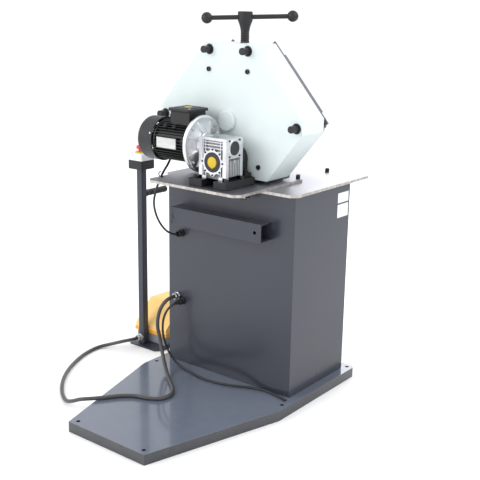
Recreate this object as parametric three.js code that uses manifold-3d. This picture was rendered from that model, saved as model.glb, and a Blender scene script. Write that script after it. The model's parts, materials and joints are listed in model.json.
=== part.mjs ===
// Three-roll pipe and profile bending machine with a tilting head, a floor stand,
// an emergency-stop pedestal and a guarded foot switch.
// Millimetres, +Z up. The rolls face -Y, the motor side is +Y.

import * as THREE from 'three';
import { mergeVertices } from 'three/addons/utils/BufferGeometryUtils.js';
import Module from 'manifold-3d';

const wasm = await Module();
wasm.setup();

// ---------- driving dimensions ----------

const GAP = 0.3; // clearance between touching pieces

const BASE = {
  height: 38, sheet: 3, backHalf: 176, backY: 805, kneeY: 285, half: 326, frontY: -222, chamfer: 16,
  anchorRadius: 7, anchorInset: 23,
};
const CABINET = { half: 290, depthHalf: 178, top: 775, sheet: 3 };
const DOOR = { half: 243, low: 84, high: 724, thick: 16, sheet: 2, lap: 14, knobInset: 30, knobZ: 405 };
const LOWER_PLATE = { half: 300, back: 196, front: -312, thick: 10, chamfer: 22 };
const HEAD_X = 28; // centre of the gear casing, rolls and lead screw
const UPPER_PLATE = { low: -182, high: 234, back: 360, front: -42, thick: 10, chamfer: 21, holeInset: 18 };
const PLATE_TOP = CABINET.top + LOWER_PLATE.thick + UPPER_PLATE.thick;
const HINGE = { y: 212, z: 760, rod: 6, lug: 14, lugWidth: 24, rodLow: -118, rodHigh: 174 };
const LOWER_LUGS = [-110, 142];
const UPPER_LUGS = [-82, 114];
const BRACKET = {
  low: -190, high: 228, bottom: 609, top: 674, face: 236, sheet: 4, holeZ: 642, holes: [-163, 212],
};

const CASING = {
  topHalf: 107, midHalf: 320, bottomHalf: 178, bottom: 808, midLow: 984, midHigh: 1029, top: 1271, wall: 3,
  front: 24, back: 155, capRadius: 37.5, capThick: 13,
};
const FRONT_PLATE = {
  front: 14, back: 33, half: 150, footFront: -26, footBack: 130, nutHalf: 34, nutLow: 1218, nutHigh: 1262,
  sleeve: 28,
};
const ROLL = { span: 150, z: 965, topZ: 1125, radius: 65, low: -78, high: -14, shaft: 15, nutEnd: 22 };
const SLOT = { half: 41, low: 1022, high: 1212 };
const SLIDE = { half: 40.4, low: 1080, high: 1170, back: 92 };
const SCREW = {
  y: 62, radius: 16, headLow: 1314, headMid: 1347, headTop: 1379, headRadius: 26.5, barZ: 1359,
};
const BAR = { radius: 8, ball: 20, left: 135, right: 167, turn: 0.66, tilt: 0.035 };
const GEAR = { module: 6, low: 104, high: 128 };
const IDLER = { z: 1004, teeth: 30 };
const PINION_TEETH = 15;
const ROLL_GEAR_TEETH = 21;
const RODS = {
  topOut: 85.3, topZ: 1248.5, midOut: 296.3, midZ: 1004.2, radius: 12.5, hole: 16, low: -6, tip: 190,
};
const EDGE_BAR = {
  inner: -56, outer: -4, low: 46, high: 294, tabLow: -14, tabHigh: 342, front: -2, tabFront: 7.5,
};

const GEARBOX = {
  x: -30, y: 261, bottom: 821, halfLength: 60, halfWidth: 46, height: 144, axisUp: 60, inputUp: 110,
  corner: 10, faceRadius: 50, inputRadius: 33, footHeight: 12,
};
const OUTPUT_Z = GEARBOX.bottom + GEARBOX.axisUp;
const MOTOR_Z = GEARBOX.bottom + GEARBOX.inputUp;
const MOTOR = {
  flangeLow: 46, flangeHigh: 62, flange: 100, body: 72, bodyHigh: 226, cowl: 79, cowlHigh: 300, cowlWall: 3,
  shaft: 9.5, fan: 64,
};
const TERMINAL = { low: 80, high: 168, yLow: 212, yHigh: 300, top: 1040, lid: 11, overhang: 12, sheet: 6 };
const DRIVE_BLOCKS = { left: [2, 60], right: [-106, -50], front: 165, back: 326 };
const BEARING = { front: 168, back: 202, radius: 46, seatLow: -92, seatHigh: 44, seatThick: 14 };

const POLE = { x: 531, y: 77, half: 15, top: 757 };
const GRIP = { length: 126, z: 652, radius: 13 };
const FOOTPLATE = { low: 412, high: 602, front: -205, back: 112, thick: 6, chamfer: 26 };
const ESTOP = { half: 38, split: 793, top: 822 };
const PEDAL_BOX = {
  low: 424, high: 598, front: -195, back: 55, baseTop: 46, lipTop: 78, ridgeY: -38, roof: 168, wall: 4,
};

// ---------- geometry helpers ----------

/** Moves a geometry's own vertices. */
function moved(geometry, x, y, z) {
  return geometry.translate(x, y, z);
}

/** A box from its low to its high corner. */
function box(x0, y0, z0, x1, y1, z1) {
  const geometry = new THREE.BoxGeometry(x1 - x0, y1 - y0, z1 - z0);
  return moved(geometry, (x0 + x1) / 2, (y0 + y1) / 2, (z0 + z1) / 2);
}

/** A flat outline in X and Y, raised from z0 to z1. */
function plate(points, z0, z1) {
  const shape = new THREE.Shape(points.map(([x, y]) => new THREE.Vector2(x, y)));
  const geometry = new THREE.ExtrudeGeometry(shape, { depth: z1 - z0, bevelEnabled: false });
  return moved(geometry, 0, 0, z0);
}

/** An outline in X and Z, thickened from y0 to y1. */
function slab(points, y0, y1) {
  const shape = new THREE.Shape(points.map(([x, z]) => new THREE.Vector2(x, z)));
  const geometry = new THREE.ExtrudeGeometry(shape, { depth: y1 - y0, bevelEnabled: false });
  return moved(geometry.rotateX(Math.PI / 2), 0, y1, 0);
}

/** An outline in Y and Z, widened from x0 to x1. */
function prism(points, x0, x1) {
  const shape = new THREE.Shape(points.map(([y, z]) => new THREE.Vector2(y, z)));
  const geometry = new THREE.ExtrudeGeometry(shape, { depth: x1 - x0, bevelEnabled: false });
  geometry.rotateY(Math.PI / 2).rotateX(Math.PI / 2);
  return moved(geometry, x0, 0, 0);
}

/** Turns a solid made along Z so that its axis lies along X, Y or Z. */
function alongAxis(geometry, axis) {
  if (axis === 'x') return geometry.rotateY(Math.PI / 2);
  if (axis === 'y') return geometry.rotateX(-Math.PI / 2);
  return geometry;
}

/** A turned solid from [radius, distance] points along an axis through the point at. */
function turned(profile, axis, at, segments = 24) {
  const points = profile.map(([radius, along]) => new THREE.Vector2(radius, along));
  const geometry = new THREE.LatheGeometry(points, segments).rotateX(Math.PI / 2);
  return moved(alongAxis(geometry, axis), ...at);
}

/** A round bar along an axis, from low to high on that axis. */
function rod(radius, low, high, axis, at, segments = 24) {
  return turned([[0, low], [radius, low], [radius, high], [0, high]], axis, at, segments);
}

/** A geometry as a manifold solid. */
function solid(geometry) {
  const bare = geometry.clone();
  bare.deleteAttribute('normal');
  bare.deleteAttribute('uv');
  const merged = mergeVertices(bare, 1e-3);
  const vertProperties = new Float32Array(merged.attributes.position.array);
  const triVerts = new Uint32Array(merged.index.array);
  return new wasm.Manifold(new wasm.Mesh({ numProp: 3, vertProperties, triVerts }));
}

/** A manifold solid as a geometry. */
function geometryOf(manifold) {
  const mesh = manifold.getMesh();
  const geometry = new THREE.BufferGeometry();
  geometry.setAttribute('position', new THREE.BufferAttribute(mesh.vertProperties, 3));
  geometry.setIndex(new THREE.BufferAttribute(mesh.triVerts, 1));
  return geometry;
}

/** The first geometry with the tools cut away. */
function cut(geometry, ...tools) {
  return geometryOf(tools.reduce((rest, tool) => rest.subtract(solid(tool)), solid(geometry)));
}

/** Several geometries joined into one. */
function join(first, ...others) {
  return geometryOf(others.reduce((whole, piece) => whole.add(solid(piece)), solid(first)));
}

/** A convex or bent outline moved inward by a distance, with its points in anticlockwise order. */
function inset(points, distance) {
  return points.map((here, index) => {
    const before = points[(index + points.length - 1) % points.length];
    const after = points[(index + 1) % points.length];
    const unitIn = new THREE.Vector2(here[0] - before[0], here[1] - before[1]).normalize();
    const unitOut = new THREE.Vector2(after[0] - here[0], after[1] - here[1]).normalize();
    const normalIn = new THREE.Vector2(-unitIn.y, unitIn.x);
    const normalOut = new THREE.Vector2(-unitOut.y, unitOut.x);
    const bisector = normalIn.clone().add(normalOut);
    const reach = distance * 2 / bisector.lengthSq();
    return [here[0] + bisector.x * reach, here[1] + bisector.y * reach];
  });
}

/** A rectangle in anticlockwise order with its four corners cut off. */
function chamferedRectangle(x0, y0, x1, y1, chamfer) {
  return [
    [x0 + chamfer, y0], [x1 - chamfer, y0], [x1, y0 + chamfer], [x1, y1 - chamfer],
    [x1 - chamfer, y1], [x0 + chamfer, y1], [x0, y1 - chamfer], [x0, y0 + chamfer],
  ];
}

/** A round tube along a smooth route. */
function cordTube(route, radius, steps, sides) {
  const places = route.map((point) => new THREE.Vector3(...point));
  const curve = new THREE.CatmullRomCurve3(places, false, 'centripetal');
  const section = new THREE.Shape();
  for (let side = 0; side < sides; side += 1) {
    const angle = (2 * Math.PI * side) / sides;
    const place = [radius * Math.cos(angle), radius * Math.sin(angle)];
    if (side === 0) section.moveTo(...place);
    else section.lineTo(...place);
  }
  return new THREE.ExtrudeGeometry(section, { steps, bevelEnabled: false, extrudePath: curve });
}

// ---------- the assembly ----------

const assembly = new THREE.Group();

/** Adds one named piece. */
function piece(name, geometry, colour, roughness = 0.5, metalness = 0) {
  const material = new THREE.MeshStandardMaterial({ color: colour, roughness, metalness });
  const mesh = new THREE.Mesh(geometry, material);
  mesh.name = name;
  assembly.add(mesh);
}

const SLATE = 0x595d69;
const PALE = 0xdde4e4;
const STEEL = 0xa9a9a8;
const BLACK = 0x1d1e20;
const CAST_ALUMINIUM = 0xc9ccce;
const DARK_STEEL = 0x3a3b3f;
const ORANGE = 0xf0a330;

// ---------- floor stand ----------

function baseTray() {
  const outline = [
    [-BASE.backHalf, BASE.backY], [-BASE.half, BASE.kneeY], [-BASE.half, BASE.frontY + BASE.chamfer],
    [-BASE.half + BASE.chamfer, BASE.frontY], [BASE.half - BASE.chamfer, BASE.frontY],
    [BASE.half, BASE.frontY + BASE.chamfer], [BASE.half, BASE.kneeY], [BASE.backHalf, BASE.backY],
  ];
  const hollow = plate(inset(outline, BASE.sheet), -1, BASE.height - BASE.sheet);
  const { anchorRadius, anchorInset } = BASE;
  const rows = [[BASE.backHalf, BASE.backY - anchorInset], [BASE.half, BASE.kneeY - 2 * anchorInset],
    [BASE.half, BASE.frontY + anchorInset]];
  const anchors = rows.flatMap(([half, y]) => [[anchorInset - half, y], [half - anchorInset, y]]);
  const holes = anchors.map(([x, y]) => (
    rod(anchorRadius, BASE.height / 2, BASE.height + 1, 'z', [x, y, 0], 12)
  ));
  piece('base_tray', cut(plate(outline, 0, BASE.height), hollow, ...holes), SLATE, 0.35);
}

function cabinet() {
  const { half, depthHalf, top, sheet } = CABINET;
  const { lap } = DOOR;
  const low = BASE.height + GAP;
  const outside = box(-half, -depthHalf, low, half, depthHalf, top - GAP);
  const innerHalf = half - sheet;
  const innerDepth = depthHalf - sheet;
  const inside = box(-innerHalf, -innerDepth, low + sheet, innerHalf, innerDepth, top - GAP - sheet);
  const doorHalf = DOOR.half - lap;
  const doorBack = 2 * sheet - depthHalf;
  const doorway = box(-doorHalf, -depthHalf - 1, DOOR.low + lap, doorHalf, doorBack, DOOR.high - lap);
  piece('cabinet', cut(outside, inside, doorway), SLATE, 0.35);
}

function cabinetDoor() {
  const { half, low, high, thick, sheet, knobInset, knobZ } = DOOR;
  const back = -CABINET.depthHalf - 1;
  const front = back - thick;
  const hollow = box(sheet - half, front + sheet, low + sheet, half - sheet, back + 1, high - sheet);
  piece('cabinet_door', cut(box(-half, front, low, half, back, high), hollow), SLATE, 0.35);
  const x = knobInset - half;
  const base = rod(13, front - 10, front - GAP, 'y', [x, 0, knobZ], 20);
  const grip = box(x - 4, front - 22, knobZ - 12, x + 4, front - 8, knobZ + 12);
  piece('door_knob', join(base, grip), BLACK, 0.5);
}

/** The outline in Y and Z of a lug that hangs from height top down to the tilt axis. */
function lugOutline(top, radius) {
  const { y, z } = HINGE;
  const points = [[y + radius, top], [y - radius, top]];
  const arcSteps = 10;
  for (let step = 0; step <= arcSteps; step += 1) {
    const angle = Math.PI + (Math.PI * step) / arcSteps;
    points.push([y + radius * Math.cos(angle), z + radius * Math.sin(angle)]);
  }
  return points;
}

const HINGE_BORE = rod(HINGE.rod + 0.35, -300, 300, 'x', [0, HINGE.y, HINGE.z], 20);

function lowerPlate() {
  const low = CABINET.top;
  const { half, back, front, thick, chamfer } = LOWER_PLATE;
  const flat = plate(chamferedRectangle(-half, front, half, back, chamfer), low, low + thick);
  const lugs = LOWER_LUGS.map((x) => join(
    prism(lugOutline(low - 1, HINGE.lug), x, x + HINGE.lugWidth),
    box(x, back - 14, low - 7, x + HINGE.lugWidth, HINGE.y + 8, low + 2),
  ));
  piece('lower_plate', cut(join(flat, ...lugs), HINGE_BORE), STEEL, 0.35, 0.9);
  const pin = rod(HINGE.rod, HINGE.rodLow, HINGE.rodHigh, 'x', [0, HINGE.y, HINGE.z], 20);
  piece('hinge_rod', pin, STEEL, 0.4, 0.9);
}

function tiltBracket() {
  const { low, high, bottom, top, face, sheet, holeZ } = BRACKET;
  const wall = CABINET.depthHalf + GAP;
  const hollow = box(low - 1, wall - 1, bottom + sheet, high + 1, face - sheet, top - sheet);
  const holes = BRACKET.holes.map((x) => rod(7, face - 10, face + 1, 'y', [x, 0, holeZ], 16));
  piece('tilt_bracket', cut(box(low, wall, bottom, high, face, top), hollow, ...holes), SLATE, 0.35);
}

/** A cable gland that stands out of a rear wall, with its bore left for the cord. */
function gland(name, at, wall, colour) {
  const end = wall + GLAND_LENGTH;
  const profile = [[9, wall], [13, wall], [13, wall + 8], [11, wall + 9], [11, end], [9, end], [9, wall]];
  piece(name, turned(profile, 'y', at, 12), colour, 0.5);
}

// ---------- tilting head: plates, casing and guide rails ----------

function upperPlate() {
  const { low, high, back, front, thick, chamfer, holeInset } = UPPER_PLATE;
  const bottom = CABINET.top + LOWER_PLATE.thick + GAP;
  const flat = plate(chamferedRectangle(low, front, high, back, chamfer), bottom, bottom + thick - GAP);
  const lugs = UPPER_LUGS.map((x) => prism(lugOutline(bottom + 3, HINGE.lug), x, x + HINGE.lugWidth));
  const holes = [low + holeInset, high - holeInset].map((x) => (
    rod(6, bottom - 1, bottom + thick + 1, 'z', [x, back - holeInset, 0], 12)
  ));
  piece('upper_plate', cut(join(flat, ...lugs), HINGE_BORE, ...holes), STEEL, 0.35, 0.9);
}

/** The six-sided outline of the head, in X and Z, anticlockwise. */
function headOutline() {
  const { topHalf, midHalf, bottomHalf, bottom, midLow, midHigh, top } = CASING;
  return [
    [HEAD_X - bottomHalf, bottom], [HEAD_X + bottomHalf, bottom], [HEAD_X + midHalf, midLow],
    [HEAD_X + midHalf, midHigh], [HEAD_X + topHalf, top], [HEAD_X - topHalf, top],
    [HEAD_X - midHalf, midHigh], [HEAD_X - midHalf, midLow],
  ];
}

/** The four tie rods' places in X and Z. */
function rodPlaces() {
  const { topOut, topZ, midOut, midZ } = RODS;
  return [
    [HEAD_X + topOut, topZ], [HEAD_X - topOut, topZ], [HEAD_X + midOut, midZ], [HEAD_X - midOut, midZ],
  ];
}

/** The bores for the four tie rods, between two y values. */
function rodBores(low, high) {
  return rodPlaces().map(([x, z]) => rod(RODS.radius + 0.4, low, high, 'y', [x, 0, z], 20));
}

function gearCasing() {
  const { front, back, wall, top, capRadius, capThick } = CASING;
  const inside = slab(inset(headOutline(), wall), front - 1, back - wall);
  const rodHoles = rodPlaces().map(([x, z]) => rod(RODS.hole, back - 10, back + 1, 'y', [x, 0, z], 20));
  const shaftHole = rod(24, back - 10, back + 1, 'y', [GEARBOX.x, 0, OUTPUT_Z], 24);
  const screwHole = rod(SCREW.radius + 3, top - 10, top + 1, 'z', [HEAD_X, SCREW.y, 0], 24);
  const shell = cut(slab(headOutline(), front, back), inside, ...rodHoles, shaftHole, screwHole);
  const end = back + capThick;
  const cap = [[0, back - 1], [capRadius, back - 1], [capRadius, end - 4], [capRadius - 3.5, end], [0, end]];
  piece('gear_casing', join(shell, turned(cap, 'y', [HEAD_X, 0, IDLER.z], 32)), PALE, 0.4);
}

function frontPlate() {
  const { front, back, half, footFront, footBack, nutHalf, nutLow, nutHigh, sleeve } = FRONT_PLATE;
  const body = slab(inset(headOutline(), CASING.wall + 0.4), front, back);
  const footLow = PLATE_TOP + GAP;
  const [low, high] = [HEAD_X - half, HEAD_X + half];
  const web = box(low, front, footLow, high, CASING.front - GAP, CASING.bottom + 12);
  const foot = box(low, footFront, footLow, high, footBack, CASING.bottom - 2.5);
  const nut = box(HEAD_X - nutHalf, back - 1, nutLow, HEAD_X + nutHalf, SCREW.y + 30, nutHigh);
  const idlerPost = rod(ROLL.shaft, back - 1, GEAR.high + 8, 'y', [HEAD_X, 0, IDLER.z], 24);
  const rollAxes = [-ROLL.span, ROLL.span].map((x) => [HEAD_X + x, 0, ROLL.z]);
  const sleeves = rollAxes.map((at) => rod(sleeve, back - 1, GEAR.low - 6, 'y', at));
  const shaftBores = rollAxes.map((at) => rod(ROLL.shaft + 0.4, front - 1, GEAR.low + 1, 'y', at));
  const slot = box(HEAD_X - SLOT.half, front - 1, SLOT.low, HEAD_X + SLOT.half, back + 1, SLOT.high);
  const screwBore = rod(SCREW.radius + 0.4, nutLow - 18, nutHigh + 8, 'z', [HEAD_X, SCREW.y, 0]);
  const whole = join(body, web, foot, nut, idlerPost, ...sleeves);
  const bores = [screwBore, ...shaftBores, ...rodBores(front - 1, back + 1)];
  piece('front_plate', cut(whole, slot, ...bores), SLATE, 0.4);
}

function tieRods() {
  rodPlaces().forEach(([x, z], index) => {
    const bar = rod(RODS.radius, RODS.low, RODS.tip, 'y', [x, 0, z], 20);
    piece(`tie_rod_${index + 1}`, bar, DARK_STEEL, 0.45, 0.8);
  });
}

// An edge bar lies along a slanted side of the head. s runs down the slant from the
// top corner and n points outward from the head.
const SLANT = new THREE.Vector2(CASING.topHalf - CASING.midHalf, CASING.midHigh - CASING.top).normalize();

/** The X and Z place of (s, n) on the slanted side: side is -1 at -X and +1 at +X. */
function onSlant(side, s, n) {
  const along = [CASING.topHalf - SLANT.x * s, CASING.top + SLANT.y * s];
  const outward = [-SLANT.y, -SLANT.x];
  return [HEAD_X + side * (along[0] + outward[0] * n), along[1] + outward[1] * n];
}

/** A block on the slanted side between two s, two n and two y values. */
function slantBlock(side, s0, s1, n0, n1, y0, y1) {
  const corners = [[s0, n0], [s1, n0], [s1, n1], [s0, n1]].map(([s, n]) => onSlant(side, s, n));
  return slab(side < 0 ? corners : corners.reverse(), y0, y1);
}

function edgeBar(side, sideName) {
  const back = FRONT_PLATE.front - GAP;
  const { inner, outer, low, high, tabLow, tabHigh, front, tabFront } = EDGE_BAR;
  const tab = slantBlock(side, tabLow, tabHigh, inner, outer, tabFront, back);
  const bar = slantBlock(side, low, high, inner, outer, front, back);
  piece(`edge_bar_${sideName}`, cut(join(tab, bar), ...rodBores(RODS.low, back + 1)), SLATE, 0.4);
}

// ---------- gears, rolls and lead screw ----------

/** A spur gear's outline around its own centre, with backlash so that meshed gears stay clear. */
function gearOutline(teeth, phase) {
  const pitchRadius = (GEAR.module * teeth) / 2;
  const tip = pitchRadius + 0.8 * GEAR.module;
  const root = pitchRadius - 1.15 * GEAR.module;
  const step = (2 * Math.PI) / teeth;
  const rootHalf = 0.31 * step;
  const tipHalf = (0.115 * step * pitchRadius) / tip;
  const points = [];
  for (let tooth = 0; tooth < teeth; tooth += 1) {
    const middle = phase + tooth * step;
    [[root, -rootHalf], [tip, -tipHalf], [tip, tipHalf], [root, rootHalf]].forEach(([radius, offset]) => {
      points.push([radius * Math.cos(middle + offset), radius * Math.sin(middle + offset)]);
    });
  }
  return points;
}

/** A spur gear on a Y axis at (x, z), turned so that a tooth or a gap points at an angle. */
function gear(teeth, x, z, angle, gapThere) {
  const phase = angle + (gapThere ? Math.PI / teeth : 0);
  return moved(slab(gearOutline(teeth, phase), GEAR.low, GEAR.high), x, 0, z);
}

function gearTrain() {
  const toPinion = Math.atan2(OUTPUT_Z - IDLER.z, GEARBOX.x - HEAD_X);
  const bore = rod(15.4, GEAR.low - 1, GEAR.high + 1, 'y', [HEAD_X, 0, IDLER.z]);
  piece('idler_gear', cut(gear(IDLER.teeth, HEAD_X, IDLER.z, toPinion, false), bore), DARK_STEEL, 0.4, 0.9);

  const pinion = gear(PINION_TEETH, GEARBOX.x, OUTPUT_Z, toPinion + Math.PI, true);
  const stub = rod(15, GEAR.low - 8, 214, 'y', [GEARBOX.x, 0, OUTPUT_Z]);
  const hub = rod(12.2, 213, 296, 'y', [GEARBOX.x, 0, OUTPUT_Z]);
  piece('drive_shaft', join(pinion, stub, hub), STEEL, 0.4, 0.9);

  const idlerStep = (2 * Math.PI) / IDLER.teeth;
  [[-ROLL.span, 'right'], [ROLL.span, 'left']].forEach(([offset, sideName]) => {
    const x = HEAD_X + offset;
    const toRoll = Math.atan2(ROLL.z - IDLER.z, offset);
    const idlerPhase = (toRoll - toPinion) / idlerStep;
    const lag = (idlerPhase - Math.round(idlerPhase)) * idlerStep * (IDLER.teeth / ROLL_GEAR_TEETH);
    const rollGear = gear(ROLL_GEAR_TEETH, x, ROLL.z, toRoll + Math.PI + lag, true);
    const shaft = rod(ROLL.shaft, ROLL.low - ROLL.nutEnd, GEAR.high + 6, 'y', [x, 0, ROLL.z]);
    piece(`roll_shaft_${sideName}`, join(rollGear, shaft), STEEL, 0.4, 0.9);
    piece(`lower_roll_${sideName}`, formingRoll(x, ROLL.z), STEEL, 0.25, 0.95);
  });
}

/** A grooved forming roll with its bore, on a Y axis at (x, z). */
function formingRoll(x, z) {
  const { low, high, radius } = ROLL;
  const width = high - low;
  const bore = ROLL.shaft + 0.35;
  const rim = radius - 9;
  const profile = [
    [bore, low], [radius, low], [radius, low + width * 0.28], [rim, low + width * 0.38],
    [rim, low + width * 0.62], [radius, low + width * 0.72], [radius, high], [bore, high], [bore, low],
  ];
  return turned(profile, 'y', [x, 0, z], 32);
}

function topRoll() {
  const { half, low, high, back } = SLIDE;
  const front = FRONT_PLATE.front - 4;
  const block = box(HEAD_X - half, front, low, HEAD_X + half, back, high);
  const bore = rod(ROLL.shaft + 0.4, front - 1, back + 1, 'y', [HEAD_X, 0, ROLL.topZ]);
  piece('slide_block', cut(block, bore), DARK_STEEL, 0.4, 0.8);
  const shaft = rod(ROLL.shaft, ROLL.low - ROLL.nutEnd, back + 4, 'y', [HEAD_X, 0, ROLL.topZ]);
  piece('top_roll_shaft', shaft, STEEL, 0.3, 0.9);
  piece('top_roll', formingRoll(HEAD_X, ROLL.topZ), STEEL, 0.25, 0.95);
}

function leadScrew() {
  const { radius, y, headLow, headMid, headTop, headRadius, barZ } = SCREW;
  const low = SLIDE.high + GAP;
  const profile = [
    [0, low], [radius, low], [radius, headLow], [headRadius, headMid], [headRadius, headTop - 2],
    [headRadius - 2, headTop], [0, headTop],
  ];
  const at = [HEAD_X, y, 0];
  const bore = rod(BAR.radius + 0.35, -60, 60, 'x', [0, 0, 0]).rotateY(BAR.tilt).rotateZ(BAR.turn);
  piece('lead_screw', cut(turned(profile, 'z', at), moved(bore, HEAD_X, y, barZ)), DARK_STEEL, 0.45, 0.7);

  const shank = rod(BAR.radius, -BAR.right, BAR.left, 'x', [0, 0, 0], 16);
  const balls = [-BAR.right, BAR.left].map((x) => moved(new THREE.SphereGeometry(BAR.ball, 16, 10), x, 0, 0));
  const bar = join(shank, ...balls).rotateY(BAR.tilt).rotateZ(BAR.turn);
  piece('tommy_bar', moved(bar, HEAD_X, y, barZ), DARK_STEEL, 0.35, 0.7);
}

// ---------- drive: gearbox, motor and their seats ----------

function gearbox() {
  const { x, y, bottom, halfLength, halfWidth, height } = GEARBOX;
  const { corner, faceRadius, inputRadius, footHeight } = GEARBOX;
  const [left, right] = [x - halfLength, x + halfLength];
  const [front, back] = [y - halfWidth, y + halfWidth];
  const body = slab(chamferedRectangle(left, bottom, right, bottom + height, corner), front + 4, back - 4);
  const faces = rod(faceRadius, front, back, 'y', [x, 0, OUTPUT_Z], 32);
  const inputBoss = rod(inputRadius, right - 20, right, 'x', [0, y, MOTOR_Z], 32);
  const shaftBore = rod(12.7, front - 1, back - 8, 'y', [x, 0, OUTPUT_Z]);
  const inputBore = rod(MOTOR.shaft + 1, x + 10, right + 1, 'x', [0, y, MOTOR_Z], 20);
  const ends = box(left, front, bottom, right, back, bottom + footHeight);
  const arch = box(x - 26, front - 1, bottom - 1, x + 26, back + 1, bottom + footHeight / 2);
  const whole = join(body, faces, inputBoss, ends);
  piece('gearbox_housing', cut(whole, shaftBore, inputBore, arch), CAST_ALUMINIUM, 0.35, 0.8);
}

function motor() {
  const at = [0, GEARBOX.y, MOTOR_Z];
  const { flangeLow, flangeHigh, flange, body, bodyHigh, shaft } = MOTOR;
  const bellLow = GEARBOX.x + GEARBOX.halfLength + GAP;
  const bore = shaft + 1;
  const bell = [
    [bore, bellLow], [50, bellLow], [58, flangeLow - 6], [flange, flangeLow], [flange, flangeHigh],
    [bore, flangeHigh], [bore, bellLow],
  ];
  piece('motor_flange', turned(bell, 'x', at, 36), CAST_ALUMINIUM, 0.35, 0.8);
  const start = flangeHigh + GAP;
  const barrel = [[bore, start], [body, start], [body, bodyHigh], [bore, bodyHigh], [bore, start]];
  piece('motor_body', turned(barrel, 'x', at, 32), BLACK, 0.45, 0.3);
  fanCowl(at);
  motorRotor(at);
  terminalBox(at);
}

function fanCowl(at) {
  const { bodyHigh, cowl, cowlHigh, cowlWall: wall } = MOTOR;
  const low = bodyHigh + GAP;
  const inner = cowl - wall;
  const eye = 14;
  const cup = [
    [inner, low], [cowl, low], [cowl, cowlHigh - 24], [cowl - 5, cowlHigh - 8], [cowl - 14, cowlHigh],
    [eye, cowlHigh], [eye, cowlHigh - wall], [inner - 12, cowlHigh - wall], [inner - 4, cowlHigh - 10],
    [inner, cowlHigh - 25], [inner, low],
  ];
  piece('fan_cowl', turned(cup, 'x', at, 32), DARK_STEEL, 0.5);
}

function motorRotor(at) {
  const { shaft, fan, bodyHigh } = MOTOR;
  const low = GEARBOX.x + 12;
  const fanLow = bodyHigh + 12;
  const fanHigh = fanLow + 34;
  const rotor = [
    [0, low], [shaft, low], [shaft, fanLow], [fan, fanLow], [fan, fanHigh - 8], [fan - 12, fanHigh - 4],
    [16, fanHigh], [0, fanHigh],
  ];
  piece('motor_rotor', turned(rotor, 'x', at, 20), BLACK, 0.6);
}

function terminalBox(at) {
  const { low, high, yLow, yHigh, top, lid, overhang, sheet } = TERMINAL;
  const outside = box(low, yLow, MOTOR_Z + MOTOR.body / 2, high, yHigh, top);
  const barrel = rod(MOTOR.body + GAP, low - 20, high + 20, 'x', at, 32);
  const floor = MOTOR_Z + MOTOR.body + 8;
  const inside = box(low + sheet, yLow + sheet, floor, high - sheet, yHigh - sheet, top + 1);
  piece('terminal_box', cut(outside, barrel, inside), BLACK, 0.45);
  const outline = chamferedRectangle(low - overhang, yLow - 7, high + overhang / 2, yHigh + overhang, 8);
  piece('terminal_lid', plate(outline, top + GAP, top + lid), BLACK, 0.4);
}

function driveSeats() {
  const low = PLATE_TOP + GAP;
  const high = GEARBOX.bottom - GAP;
  const { front, back } = DRIVE_BLOCKS;
  ['left', 'right'].forEach((sideName) => {
    const [x0, x1] = DRIVE_BLOCKS[sideName];
    piece(`drive_block_${sideName}`, box(x0, front, low, x1, back, high), BLACK, 0.5, 0.5);
  });
}

function pillowBlock() {
  const { front, back, radius, seatLow, seatHigh, seatThick } = BEARING;
  const low = GEARBOX.bottom;
  const at = [GEARBOX.x, 0, OUTPUT_Z];
  const seat = box(seatLow, front - 2, low, seatHigh, back + 2, low + seatThick);
  const neck = box(GEARBOX.x - radius + 1, front, low + 1, GEARBOX.x + radius - 1, back, OUTPUT_Z);
  const housing = rod(radius, front, back, 'y', at, 32);
  const bore = rod(ROLL.shaft + 0.4, front - 1, back + 1, 'y', at);
  piece('pillow_block', cut(join(seat, neck, housing), bore), BLACK, 0.5, 0.5);
}

// ---------- pedestal and foot switch ----------

function pedestal() {
  const { x, y, half, top } = POLE;
  const { low, high, front, back, thick, chamfer } = FOOTPLATE;
  const outline = chamferedRectangle(low, front, high, back, chamfer);
  piece('pedestal_footplate', plate(outline, 0, thick), SLATE, 0.4);
  const post = plate(chamferedRectangle(x - half, y - half, x + half, y + half, 3), thick + GAP, top - GAP);
  piece('pedestal_pole', post, SLATE, 0.35);
  const { length, z, radius } = GRIP;
  const end = y - half - GAP;
  const start = end - length;
  const grip = [
    [0, start], [radius - 3, start], [radius, start + 3], [radius, end - 12], [radius + 2, end - 10],
    [radius + 2, end], [0, end],
  ];
  piece('pedestal_grip', turned(grip, 'y', [x, 0, z], 16), BLACK, 0.6);
}

function emergencyStop() {
  const { x, y } = POLE;
  const { half, split, top } = ESTOP;
  const section = chamferedRectangle(x - half, y - half, x + half, y + half, 4);
  piece('estop_box_lower', plate(section, POLE.top, split - GAP), BLACK, 0.5);
  const stemHole = rod(11.4, split + 6, top + 4, 'z', [x, y, 0], 20);
  const collar = rod(22, top - 1, top + 3, 'z', [x, y, 0], 24);
  piece('estop_box_cover', cut(join(plate(section, split, top), collar), stemHole), 0xe9e9f2, 0.4);
  const head = [
    [0, top - 4], [11, top - 4], [11, top + 14], [19, top + 17], [20, top + 23], [18, top + 29],
    [12, top + 31], [0, top + 31],
  ];
  piece('estop_button', turned(head, 'z', [x, y, 0], 24), 0xe0303a, 0.4);
}

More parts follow.
